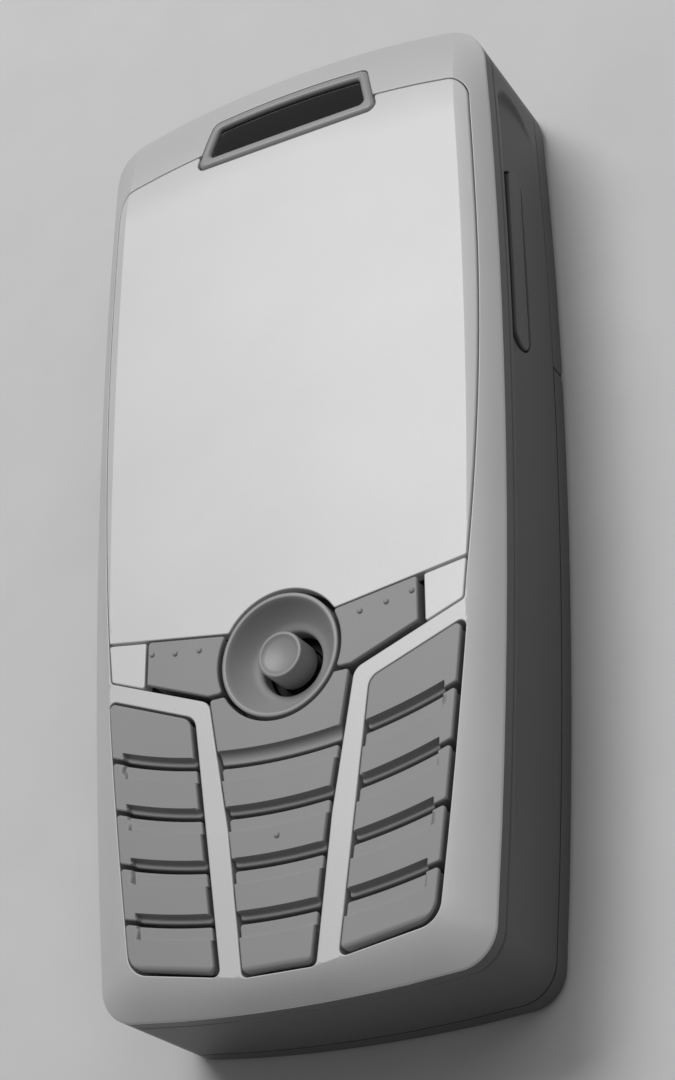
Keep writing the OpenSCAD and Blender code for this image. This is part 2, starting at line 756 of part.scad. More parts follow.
module joystick_gimbal() {
    h = 1;
    color("silver") translate([0, dish_y, z_pivot]) difference() {
        union() {
            cylinder(r = gimbal_r, h = h, center = true);
            pin_pair(pin_r, gimbal_r - 0.3, carriage_r - seat);
        }
        cylinder(r = hub_r + loose, h = 2 * h, center = true);
        rotate([0, 0, 90]) pin_pair(pin_r + fit, hub_r, gimbal_r + 1);
    }
}

module joystick_stem() {
    h = 0.6;
    color("silver") translate([0, dish_y, z_pivot]) {
        cylinder(r = hub_r, h = h, center = true);
        rotate([0, 0, 90]) pin_pair(pin_r, hub_r - 0.2, gimbal_r - seat);
        cylinder(r = stem_r, h = z_cap_low + stem_depth - z_pivot);
    }
}

module joystick_cap() {
    dome = 0.2;
    color("darkgray") difference() {
        translate([0, dish_y, 0]) rotate_extrude()
            polygon([[0, z_cap_low], [cap_r, z_cap_low], [cap_r, z_cap - 0.3], [cap_r - 0.3, z_cap],
                [cap_r / 2, z_cap - dome / 2], [0, z_cap - dome]]);
        peg([0, dish_y, 0], stem_r + fit, z_cap_low - 1, z_cap_low + stem_depth);
    }
}

// Slot with round ends along the right side, grown by gap
module side_slot(x0, x1, gap) {
    l = side_key_l / 2 + gap;
    h = side_key_h / 2 + gap;
    r = h - fit;
    slot = [[-l, -h, r], [l, -h, r], [l, h, r], [-l, h, r]];
    translate([x0, side_key_up, side_key_z]) rotate([90, 0, 90])
        linear_extrude(x1 - x0) polygon(rounded(slot));
}

module side_key() {
    tab_l = 3.5;
    tab_h = side_key_h / 2 + 0.7;
    color("dimgray") {
        side_slot(side_back_x, side_face_x, 0);
        block(side_back_x, side_inner_x - loose, side_key_up - tab_l, side_key_up + tab_l,
            side_key_z - tab_h, side_key_z + tab_h);
    }
}

module side_key_board() {
    half_l = side_key_l / 2;
    z_low = side_key_z - side_key_h / 2 + 0.3;
    x1 = side_board_x + side_board_t;
    color("darkgreen") block(side_board_x, x1, side_key_up - half_l, side_key_up + half_l, z_low, z_board);
    color("silver") for (s = [-1, 1]) translate([x1, side_key_up + s * switch_apart, side_key_z])
        rotate([0, 90, 0]) cylinder(r = 1, h = switch_t);
}

module keypad_mat() {
    color("lightgray") difference() {
        slab(ring(wall + 1), z_mat, z_mat + mat_t);
        block(-body_w, body_w, frame_low - loose, body_l, z_mat - 1, z_mat + 2);
        dish_round(z_mat - 1, z_mat + 2, loose);
        for (p = screw_places) peg(p, boss_r + loose, z_mat - 1, z_mat + 2);
    }
}

module key_domes() {
    dome_r = 1.7;
    color("silver") {
        for (k = [0:LAST_ROW]) for (c = [0:2]) peg(key_place(k, c), dome_r, z_board, z_mat);
        both_sides() peg(softkey_place, dome_r, z_board, z_mat);
    }
}

module main_board() {
    color("darkgreen") difference() {
        slab(ring(wall + loose), z_board_back, z_board);
        block(side_board_x, body_w, side_key_up - board_notch / 2, side_key_up + board_notch / 2,
            z_board_back - 1, z_board + 1);
        for (p = screw_places) peg(p, screw_r + seat, z_board_back - 1, z_board + 1);
    }
}

can_gap = 1.5;
module shield_cans() {
    z_low = z_floor_top + 2 * loose;
    side = battery_w / 2 - can_gap;
    color("silver") {
        block(-side, -can_gap, dish_y + can_gap, cross_wall_y - 5 * can_gap, z_low, z_board_back);
        block(can_gap, side, dish_y + can_gap, cross_wall_y - 9 * can_gap, z_low, z_board_back);
        block(-side / 2, side, socket_y - socket_w / 2, dish_y - can_gap, z_low, z_board_back);
    }
}

module battery() {
    color("black") block(-battery_w / 2, battery_w / 2, battery_low_y, battery_top_y,
        z_battery, z_battery_top);
}

module battery_contacts() {
    pitch = 5;
    half_w = 1;
    color("gold") for (x = [-pitch, 0, pitch])
        block(x - half_w, x + half_w, battery_top_y + fit, cross_wall_y, cover_h, z_battery_top - loose);
}

sim_x = sim_w / 2;
sim_top_y = cross_wall_y - 7;
sim_low_y = sim_top_y - sim_l;
sim_lip = 2;
module sim_holder() {
    rail = 1.2;
    color("silver") difference() {
        block(-sim_x - rail, sim_x + rail, sim_low_y + sim_lip, sim_top_y + rail,
            z_battery_top + seat, z_floor);
        block(-sim_x - fit, sim_x + fit, sim_low_y, sim_top_y + fit, z_floor - sim_t - seat, z_floor + 1);
    }
}

module sim_card() {
    color("ivory") block(-sim_x, sim_x, sim_low_y, sim_top_y, z_floor - sim_t - fit, z_floor - fit);
}

module along_x(r, x0, x1) {
    translate([x0, motor_y, motor_z]) rotate([0, 90, 0]) cylinder(r = r, h = x1 - x0);
}

module vibration_motor() {
    color("silver") {
        along_x(motor_r, motor_x - motor_l / 2, motor_x + motor_l / 2);
        along_x(shaft_r, weight_x - 0.3, motor_x);
        block(motor_x - motor_l / 3, motor_x + motor_l / 3, motor_y - motor_r / 2, motor_y + motor_r / 2,
            motor_z, z_board_back);
    }
}

module vibration_weight() {
    color("goldenrod") difference() {
        union() {
            difference() {
                along_x(weight_r, weight_x, weight_x + weight_l);
                block(weight_x - 1, weight_x + weight_l + 1, motor_y - motor_r, motor_y + motor_r,
                    motor_z, motor_z + motor_r);
            }
            along_x(shaft_r + 0.4, weight_x, weight_x + weight_l);
        }
        along_x(shaft_r + fit, weight_x - 1, weight_x + weight_l + 1);
    }
}

module loudspeaker() {
    color("dimgray") peg(speaker_place, speaker_r, z_board_back - speaker_h, z_board_back);
}

module microphone() {
    r = 2;
    color("silver") peg([battery_w / 3, battery_low_y + r, 0], r, z_board_back - back_room / 2, z_board_back);
}

module charging_socket() {
    x0 = -half_x(socket_y) + 2 * loose;
    half_w = socket_w / 2;
    mouth = half_w - socket_wall;
    color("silver") difference() {
        block(x0, x0 + socket_l, socket_y - half_w, socket_y + half_w, z_board_back - socket_h, z_board_back);
        block(x0 - 1, x0 + socket_l - 1, socket_y - mouth, socket_y + mouth,
            z_board_back - socket_h + socket_wall, z_board_back - socket_wall);
    }
}

module antenna() {
    half_w = screw_place(screw_top_y).x - post_r - 2 * loose;
    room = half_w - antenna_wall;
    z_low = cover_t + loose;
    color("gold") difference() {
        block(-half_w, half_w, antenna_low_y, antenna_top_y, z_low, z_board_back);
        block(-room, room, antenna_low_y + antenna_wall, antenna_top_y - antenna_wall,
            z_low + antenna_wall, z_board_back + 1);
    }
}

module housing_screws() {
    color("silver") for (p = screw_places) {
        peg(p, screw_head_r, z_screw_head - screw_head_h, z_screw_head);
        peg(p, screw_r, z_screw_head - eps, z_board + boss_depth);
    }
}

front_housing();
rear_housing();
upper_back_cover();
battery_cover();
display_lens();
trim_left();
trim_right();
display_module();
display_frame();
earpiece_ring();
earpiece_window();
earpiece_receiver();
for (k = [0:LAST_ROW]) for (c = [0:2]) {
    keypad_key(k, c);
}
softkey_left();
softkey_right();
nav_dish();
joystick_base();
joystick_carriage();
joystick_gimbal();
joystick_stem();
joystick_cap();
side_key();
side_key_board();
keypad_mat();
key_domes();
main_board();
shield_cans();
battery();
battery_contacts();
sim_holder();
sim_card();
vibration_motor();
vibration_weight();
loudspeaker();
microphone();
charging_socket();
antenna();
housing_screws();
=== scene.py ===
import json
import math

import bpy
import numpy as np
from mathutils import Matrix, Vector
from mathutils.geometry import delaunay_2d_cdt


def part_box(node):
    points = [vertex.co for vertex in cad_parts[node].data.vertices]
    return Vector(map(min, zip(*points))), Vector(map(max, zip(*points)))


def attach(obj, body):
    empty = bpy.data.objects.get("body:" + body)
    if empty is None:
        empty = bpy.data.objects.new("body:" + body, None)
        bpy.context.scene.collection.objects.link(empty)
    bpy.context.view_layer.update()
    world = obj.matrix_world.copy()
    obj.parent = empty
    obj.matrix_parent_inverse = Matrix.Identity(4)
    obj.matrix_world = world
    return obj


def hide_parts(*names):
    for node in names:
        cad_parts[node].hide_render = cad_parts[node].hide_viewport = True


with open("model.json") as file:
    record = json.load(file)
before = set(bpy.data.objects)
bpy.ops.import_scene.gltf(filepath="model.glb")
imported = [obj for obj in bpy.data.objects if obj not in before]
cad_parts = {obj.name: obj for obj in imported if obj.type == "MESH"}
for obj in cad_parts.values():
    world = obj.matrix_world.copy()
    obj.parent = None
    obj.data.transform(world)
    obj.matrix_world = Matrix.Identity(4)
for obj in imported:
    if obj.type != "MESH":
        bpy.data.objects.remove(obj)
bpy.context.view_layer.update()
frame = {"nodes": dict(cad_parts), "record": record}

bl_info = {
    "name": "Feature phone",
    "version": (1, 0, 0),
    "blender": (4, 5, 0),
    "location": "View3D > Sidebar > Phone",
    "description": "Dresses the packed feature phone with detailed pieces and finishes",
    "category": "Add Mesh",
}

MM = 0.001
BODY_LOW, BODY_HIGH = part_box("rear_housing")

ROWS = [
    ("key_call", "key_clear", "key_end"),
    ("key_1", "key_2", "key_3"),
    ("key_4", "key_5", "key_6"),
    ("key_7", "key_8", "key_9"),
    ("key_star", "key_0", "key_hash"),
]
LAST_ROW = len(ROWS) - 1
# Steps of points over a fillet
FILLET_STEPS = 4
# Least distance in millimetres of the lines in a surface from its edges
LINE_ROOM = 0.09
# Twice the area in square millimetres up to which a triangle is left out
SLIVER = 1e-6
# Corners of a box, in the order of a path round it
BOX_CORNERS = ((-1, -1), (1, -1), (1, 1), (-1, 1))


def length(name, description, millimetres):
    """A size in metres that the sidebar shows as a distance."""
    return bpy.props.FloatProperty(
        name=name, description=description, default=millimetres * MM, min=0.0,
        precision=5, unit="LENGTH", subtype="DISTANCE")


def linear(level):
    """Scene value of one screen level from 0 to 255."""
    share = level / 255
    return share / 12.92 if share <= 0.04045 else ((share + 0.055) / 1.055) ** 2.4


def colour(name, description, red, green, blue):
    """A colour given as screen levels."""
    return bpy.props.FloatVectorProperty(
        name=name, description=description, subtype="COLOR", size=3, min=0.0, max=1.0,
        default=(linear(red), linear(green), linear(blue)))


class PhoneSizes(bpy.types.PropertyGroup):
    """Sizes of the phone"""

    body_length: length("Body length", "Length of the phone", (BODY_HIGH[1] - BODY_LOW[1]) / MM)
    body_width: length(
        "Body width", "Width of the phone where it is widest", (BODY_HIGH[0] - BODY_LOW[0]) / MM)
    body_depth: length("Body depth", "Height of the flat front above the back", 18)
    border_drop: length("Border drop", "Fall of the border from the flat front to the sharp edge", 2.2)
    border_width: length("Border width", "Width of the sloping border beside the lens", 3.1)
    slope_length: length("Top slope", "Length of the slope that falls to the top edge", 13)
    edge_round: length("Edge round", "Rounding of the edges of the front and the lens", 0.14)
    wall: length("Wall", "Thickness of the housing's walls", 1.4)
    lens_gap: length("Lens gap", "Gap round the lens and the trims", 0.12)
    key_proud: length("Key height", "Height of the keys above the front", 0.45)
    key_gap: length("Key gap", "Gap between a key and the front", 0.3)
    softkey_gap: length("Softkey gap", "Gap round a softkey", 0.42)
    row_gap: length("Row gap", "Gap between two rows of keys", 0.42)
    key_edge: length("Key edge", "Rounding of the edges of a key", 0.18)
    key_tuck: length("Key tuck", "Distance by which a key's walls stand back below its lip", 0.2)
    cove_width: length("Cove width", "Width of the hollow along the lower edge of a key", 0.68)
    cove_flat: length("Cove flat", "Width of the level strip at the foot of that hollow", 0.44)
    cove_drop: length("Cove drop", "Depth of that hollow", 0.75)
    notch_height: length("Notch height", "Height of the lowered strip along the top of a key", 1.3)
    notch_drop: length("Notch drop", "Depth of that strip", 0.45)
    rim_width: length("Rim width", "Width of the flush rim beside the hollows of the outer keys", 1.2)
    dish_radius: length("Dish radius", "Radius of the navigation dish", 6.4)
    ring_proud: length("Ring height", "Height of the earpiece ring above the front", 0.15)
    dot_radius: length("Dot radius", "Radius of a raised dot", 0.3)
    dot_height: length("Dot height", "Height of a raised dot", 0.2)


class PhoneColours(bpy.types.PropertyGroup):
    """Colours of the phone's finishes"""

    front: colour("Front", "Pale silver paint of the front housing", 208, 208, 208)
    lens: colour("Lens", "Blank panel over the display", 222, 222, 222)
    # The dark grey of the sides and the back is partly the plastic's own colour and partly painted shade of
    # the sides.
    rear: colour("Rear", "Plastic of the sides and the back", 84, 84, 84)
    keys: colour("Keys", "Moulded keys", 156, 156, 156)
    dish: colour("Dish", "Navigation dish", 162, 162, 162)
    cap: colour("Joystick cap", "Joystick cap", 150, 150, 150)
    ring: colour("Earpiece ring", "Ring round the earpiece", 164, 164, 164)
    window: colour("Earpiece window", "Glossy window of the earpiece", 14, 14, 15)
    floor: colour("Floor", "Plain studio floor", 226, 226, 226)


def unit(v):
    return v / np.linalg.norm(v)


def units(rows):
    """Rows of numbers, each scaled to length 1."""
    return rows / np.linalg.norm(rows, axis=1)[:, None]


def right_of(a, b):
    """Direction to the right of the way from a to b."""
    ahead = unit(b - a)
    return np.array((ahead[1], -ahead[0]))


def smooth(t):
    """Soft step from 0 to 1."""
    t = np.clip(t, 0, 1)
    return t * t * (3 - 2 * t)


def cove(t):
    """Fall of a hollow quarter round, from its upper edge at 0 to its foot at 1."""
    return np.sqrt(1 - (1 - np.clip(t, 0, 1)) ** 2)


def quarter_round(d, r):
    """Fall of a quarter round of radius r at distance d from its edge."""
    return r - np.sqrt(r * r - (r - np.clip(d, 0, r)) ** 2)


def corner_arc(a, b, c, r):
    """Points of the arc of radius r that rounds corner b of the path a, b, c."""
    u, v = unit(a - b), unit(c - b)
    half = math.acos(float(np.clip(u @ v, -1, 1))) / 2
    centre = b + unit(u + v) * r / math.sin(half)
    start = b + u * r / math.tan(half) - centre
    first = math.atan2(start[1], start[0])
    bend = (b[0] - a[0]) * (c[1] - b[1]) - (b[1] - a[1]) * (c[0] - b[0])
    sweep = math.copysign(math.pi - 2 * half, bend)
    steps = max(4, math.ceil(abs(sweep) * r / 0.2))
    turns = first + sweep * np.arange(steps + 1) / steps
    return [centre + r * np.array((math.cos(t), math.sin(t))) for t in turns]


def trace(corners, reach=0.5):
    """Closed path through corners (x, y, radius), as points at most reach apart."""
    for turn in [c for c in corners if c[2] > 0]:
        corners = [c for c in corners if c[2] > 0 or math.dist(c[:2], turn[:2]) > 1.6 * turn[2]]
    places = [np.array(c[:2], float) for c in corners]
    path = []
    for i, corner in enumerate(corners):
        if corner[2] > 0:
            path += corner_arc(places[i - 1], places[i], places[(i + 1) % len(places)], corner[2])
        else:
            path.append(places[i])
    points = []
    for i, a in enumerate(path):
        step = path[(i + 1) % len(path)] - a
        count = max(1, math.ceil(np.linalg.norm(step) / reach))
        points += [a + step * k / count for k in range(count)]
    return np.array(points)


def round_box(u, v, half_u, half_v, r):
    """Path of a box about (u, v) with rounded corners."""
    return trace([(u + i * half_u, v + j * half_v, r) for i, j in BOX_CORNERS], 0.4)


def round_path(x, y, r):
    """Path of a circle about (x, y)."""
    turns = np.linspace(0, 2 * math.pi, 25)[:-1]
    return trace([(x + r * math.cos(t), y + r * math.sin(t), 0) for t in turns])


def flip(corners):
    """Mirror image of a run of corners, in the order that goes on round the path."""
    return [(-c[0], c[1], c[2]) for c in reversed(corners)]


def mirrored(loop):
    return (loop * (-1, 1))[::-1]


def edge_normals(loop):
    """Normals of the edges before and after each point, to the right of the path."""
    ahead = units(np.roll(loop, -1, 0) - loop)
    after = np.column_stack((ahead[:, 1], -ahead[:, 0]))
    return np.roll(after, 1, 0), after


def outward(loop):
    """Directions out of the path at its points."""
    before, after = edge_normals(loop)
    return units(before + after)


def moved(loop, d):
    """The path moved outwards by d."""
    before, after = edge_normals(loop)
    return loop + d * (before + after) / (1 + np.sum(before * after, 1))[:, None]


def in_parts(p):
    """Points in portions that keep the tables of distances small."""
    return np.array_split(p, len(p) // 1500 + 1)


def inside(loop, p):
    """Which of the points p lie within the path."""
    a, b = loop, np.roll(loop, -1, 0)
    rise = b[:, 1] - a[:, 1]
    lean = (b[:, 0] - a[:, 0]) / np.where(rise == 0, 1, rise)
    found = []
    for part in in_parts(p):
        x, y = part[:, 0, None], part[:, 1, None]
        crosses = (a[:, 1] > y) != (b[:, 1] > y)
        found.append(np.sum(crosses & (x < a[:, 0] + (y - a[:, 1]) * lean), 1) % 2 == 1)
    return np.concatenate(found)


def between(loops, p):
    """Which of the points p lie within the first path and outside the others."""
    found = inside(loops[0], p)
    for loop in loops[1:]:
        found &= ~inside(loop, p)
    return found


def distance(loop, p):
    """Distance of each point of p from the path."""
    along = np.roll(loop, -1, 0) - loop
    size = np.sum(along * along, 1)
    found = []
    for part in in_parts(p):
        x, y = part[:, 0, None] - loop[:, 0], part[:, 1, None] - loop[:, 1]
        share = np.clip((x * along[:, 0] + y * along[:, 1]) / size, 0, 1)
        found.append(np.sqrt(np.min((x - share * along[:, 0]) ** 2 + (y - share * along[:, 1]) ** 2, 1)))
    return np.concatenate(found)


def cut_across(loop, y, above):
    """The part of a path above or below the line at y, closed along that line."""
    keep = loop[:, 1] > y if above else loop[:, 1] < y
    first = next(i for i in range(len(loop)) if keep[i] and not keep[i - 1])
    run = np.roll(loop, -first, 0)[:int(np.sum(keep))]
    ends = [np.array((np.interp(y, *side), y)) for side in line_ends(loop, run, y)]
    steps = np.linspace(0, 1, math.ceil(np.linalg.norm(ends[0] - ends[1])))[1:-1, None]
    return np.concatenate((run, ends[1:], ends[1] + steps * (ends[0] - ends[1]), ends[:1]))


def line_ends(loop, run, y):
    """Heights and widths of the two sides of the path that the line at y crosses, first and last."""
    reach = 6
    for end in (run[0], run[-1]):
        near = loop[(np.sign(loop[:, 0]) == np.sign(end[0])) & (np.abs(loop[:, 1] - y) < reach)]
        near = near[np.argsort(near[:, 1])]
        yield near[:, 1], near[:, 0]


def slope(surface, p):
    """Normals of a surface given as heights over p."""
    step = 0.03
    across = (surface(p + (step, 0)) - surface(p - (step, 0))) / (2 * step)
    along = (surface(p + (0, step)) - surface(p - (0, step))) / (2 * step)
    return units(np.column_stack((-across, -along, np.ones(len(p)))))


def level(height):
    """Surface of one height."""
    return lambda p: np.full(len(p), float(height))


class Facing:
    """A flat ground: the directions of its two lines and of its height."""

    def __init__(self, u, v, h):
        self.axes = np.array((u, v, h), float)

    def point(self, p, h):
        return np.column_stack((p, h)) @ self.axes

    def turn(self, p, n):
        return n @ self.axes


FRONTWARD = Facing((1, 0, 0), (0, 1, 0), (0, 0, 1))
REARWARD = Facing((-1, 0, 0), (0, 1, 0), (0, 0, -1))
RIGHTWARD = Facing((0, 1, 0), (0, 0, 1), (1, 0, 0))


class Wrapped:
    """Ground that runs round a path: distance along it, height above the back, height above the path."""

    def __init__(self, loop):
        closed = np.concatenate((loop, loop[:1]))
        steps = np.linalg.norm(np.diff(closed, axis=0), axis=1)
        self.run = np.concatenate(((0,), np.cumsum(steps)))
        normals = outward(loop)
        self.path = closed
        self.normals = np.concatenate((normals, normals[:1]))

    def at(self, table, t):
        return np.column_stack([np.interp(t, self.run, table[:, i]) for i in (0, 1)])

    def facing(self, t):
        return units(self.at(self.normals, t))

    def point(self, p, h):
        return np.column_stack((self.at(self.path, p[:, 0]) + self.facing(p[:, 0]) * h[:, None], p[:, 1]))

    def turn(self, p, n):
        out = self.facing(p[:, 0])
        along = np.column_stack((-out[:, 1], out[:, 0]))
        return np.column_stack((out * n[:, 2:] + along * n[:, :1], n[:, 1]))


class Form:
    """Points, normals and faces of one piece, in millimetres"""

    def __init__(self):
        self.points = []
        self.normals = []
        self.faces = []
        self.shades = []
        self.count = 0

    def add(self, points, normals):
        rows = np.arange(self.count, self.count + len(points))
        self.points.append(points)
        self.normals.append(normals)
        self.count += len(points)
        return rows

    def face(self, corners, shade=0):
        self.faces.append(tuple(corners))
        self.shades.append(shade)

    def strip(self, low, high, side=1, skip=None, shade=0):
        """Wall between two closed rows of points."""
        for i in range(len(low)):
            j = (i + 1) % len(low)
            if skip is not None and skip[i] and skip[j]:
                continue
            face = (low[i], low[j], high[j], high[i])
            self.face(face if side > 0 else face[::-1], shade)

    def fill(self, ground, loops, surface, lines, side):
        """Surface over the ground between the first path and the others, with edges along lines."""
        points = np.concatenate(loops)
        edges = []
        start = 0
        for loop in loops:
            edges += [(start + i, start + (i + 1) % len(loop)) for i in range(len(loop))]
            start += len(loop)
        if lines:
            marks = np.concatenate(lines)
            clear = between(loops, marks)
            for loop in loops:
                clear &= distance(loop, marks) > LINE_ROOM
            number = (start - 1 + np.cumsum(clear)).tolist()
            ends = set((np.cumsum([len(line) for line in lines]) - 1).tolist())
            edges += [(number[i], number[i + 1]) for i in range(len(marks) - 1)
                      if clear[i] and clear[i + 1] and i not in ends]
            points = np.concatenate((points, marks[clear]))
        found = delaunay_2d_cdt([Vector(p) for p in points.tolist()], edges, [], 1, 1e-5, True)
        flat = np.array([points[own[0]] if own else tuple(v) for v, own in zip(found[0], found[3])])
        faces = np.array(found[2])
        a, b, c = (flat[faces[:, k]] for k in range(3))
        area = (b[:, 0] - a[:, 0]) * (c[:, 1] - a[:, 1]) - (b[:, 1] - a[:, 1]) * (c[:, 0] - a[:, 0])
        kept = between(loops, (a + b + c) / 3) & (np.abs(area) > SLIVER)
        rows = self.add(ground.point(flat, surface(flat)), ground.turn(flat, side * slope(surface, flat)))
        for face, turned in zip(faces[kept], area[kept] * side < 0):
            self.face(rows[face[::-1] if turned else face])

    def panel(self, ground, loops, fillets, top, bottom, lines=(), low_lines=(), seam=None, shade=0, tuck=0):
        """Closed panel between bottom and top, within the first path and outside the others."""
        crowns, feet = [], []
        for number, (loop, fillet) in enumerate(zip(loops, fillets)):
            side = -1 if number else 1
            away = np.column_stack((side * outward(loop), np.zeros(len(loop))))
            skip = seam(loop) if seam else None
            foot = moved(loop, -side * tuck)
            row = self.add(ground.point(foot, bottom(foot)), ground.turn(foot, away))
            if tuck:
                row = self.lip(ground, foot, loop, top(loop) - fillet - tuck, away, row)
            for angle in np.linspace(0, math.pi / 2, FILLET_STEPS + 1) if fillet else (0.0,):
                ring = moved(loop, -side * fillet * (1 - math.cos(angle))) if fillet else loop
                height = top(ring) - fillet * (1 - math.sin(angle))
                n = units(math.cos(angle) * away + math.sin(angle) * slope(top, ring))
                upper = self.add(ground.point(ring, height), ground.turn(ring, n))
                self.strip(row, upper, side, skip, 0 if number or angle else shade)
                row = upper
            crowns.append(ring)
            feet.append(foot)
        self.fill(ground, crowns, top, lines, 1)
        self.fill(ground, feet, bottom, low_lines, -1)
        return self

    def lip(self, ground, foot, loop, height, away, row):
        """Wall from a row up to height, and the underside of the lip that stands out above it."""
        down = ground.turn(loop, np.tile((0.0, 0.0, -1.0), (len(loop), 1)))
        self.strip(row, self.add(ground.point(foot, height), ground.turn(foot, away)))
        edge = self.add(ground.point(loop, height), down)
        self.strip(self.add(ground.point(foot, height), down), edge)
        return self.add(ground.point(loop, height), ground.turn(loop, away))

    def block(self, low, high):
        """Box between two corners."""
        low, high = np.array(low, float), np.array(high, float)
        for axis in range(3):
            for end in (0, 1):
                u, v = [(axis + 1) % 3, (axis + 2) % 3][::1 if end else -1]
                corners = np.zeros((4, 3))
                corners[:, axis] = (low, high)[end][axis]
                for k, (i, j) in enumerate(((0, 0), (1, 0), (1, 1), (0, 1))):
                    corners[k, u] = (low, high)[i][u]
                    corners[k, v] = (low, high)[j][v]
                n = np.zeros((4, 3))
                n[:, axis] = 1 if end else -1
                self.face(self.add(corners, n))

    def turned(self, centre, profile, count=96):
        """Round piece about an upright axis through centre: profile is a closed path of (radius, height)."""
        before, after = edge_normals(profile)
        soft = np.sum(before * after, 1) > 0.8
        mean = units(before + after)
        for i in range(len(profile)):
            j = (i + 1) % len(profile)
            low = self.hoop(centre, profile[i], mean[i] if soft[i] else after[i], count)
            high = self.hoop(centre, profile[j], mean[j] if soft[j] else before[j], count)
            self.strip(low, high)
        return self

    def hoop(self, centre, place, normal, count):
        """Round row of points at place (radius, height), with a normal that turns with them."""
        angles = 2 * math.pi * np.arange(count) / count
        spokes = np.column_stack((np.cos(angles), np.sin(angles)))
        points = np.column_stack((spokes * place[0] + centre, np.full(count, place[1])))
        return self.add(points, np.column_stack((spokes * normal[0], np.full(count, normal[1]))))

    def build(self, name, *materials):
        """Object with these faces, its points welded and its normals kept."""
        points, normals = np.concatenate(self.points), np.concatenate(self.normals)
        _, first, own = np.unique(np.round(points, 4), axis=0, return_index=True, return_inverse=True)
        own = own.reshape(-1)
        faces, corners, shades = [], [], []
        for face, shade in zip(self.faces, self.shades):
            kept = [k for k in range(len(face)) if own[face[k]] != own[face[k - 1]]]
            if len({own[face[k]] for k in kept}) == len(kept) > 2:
                faces.append([int(own[face[k]]) for k in kept])
                shades.append(shade)
                corners += [normals[face[k]].tolist() for k in kept]
        mesh = bpy.data.meshes.new(name)
        mesh.from_pydata((points[first] * MM).tolist(), [], faces)
        mesh.shade_smooth()
        mesh.normals_split_custom_set(corners)
        for material in materials:
            mesh.materials.append(material)
        mesh.polygons.foreach_set("material_index", shades)
        piece = bpy.data.objects.new(name, mesh)
        bpy.context.scene.collection.objects.link(piece)
        return piece


def dress(piece, body, slot, *nodes):
    """Puts a finished piece on its body in place of its CAD nodes."""
    if nodes:
        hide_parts(*nodes)
    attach(piece, body)


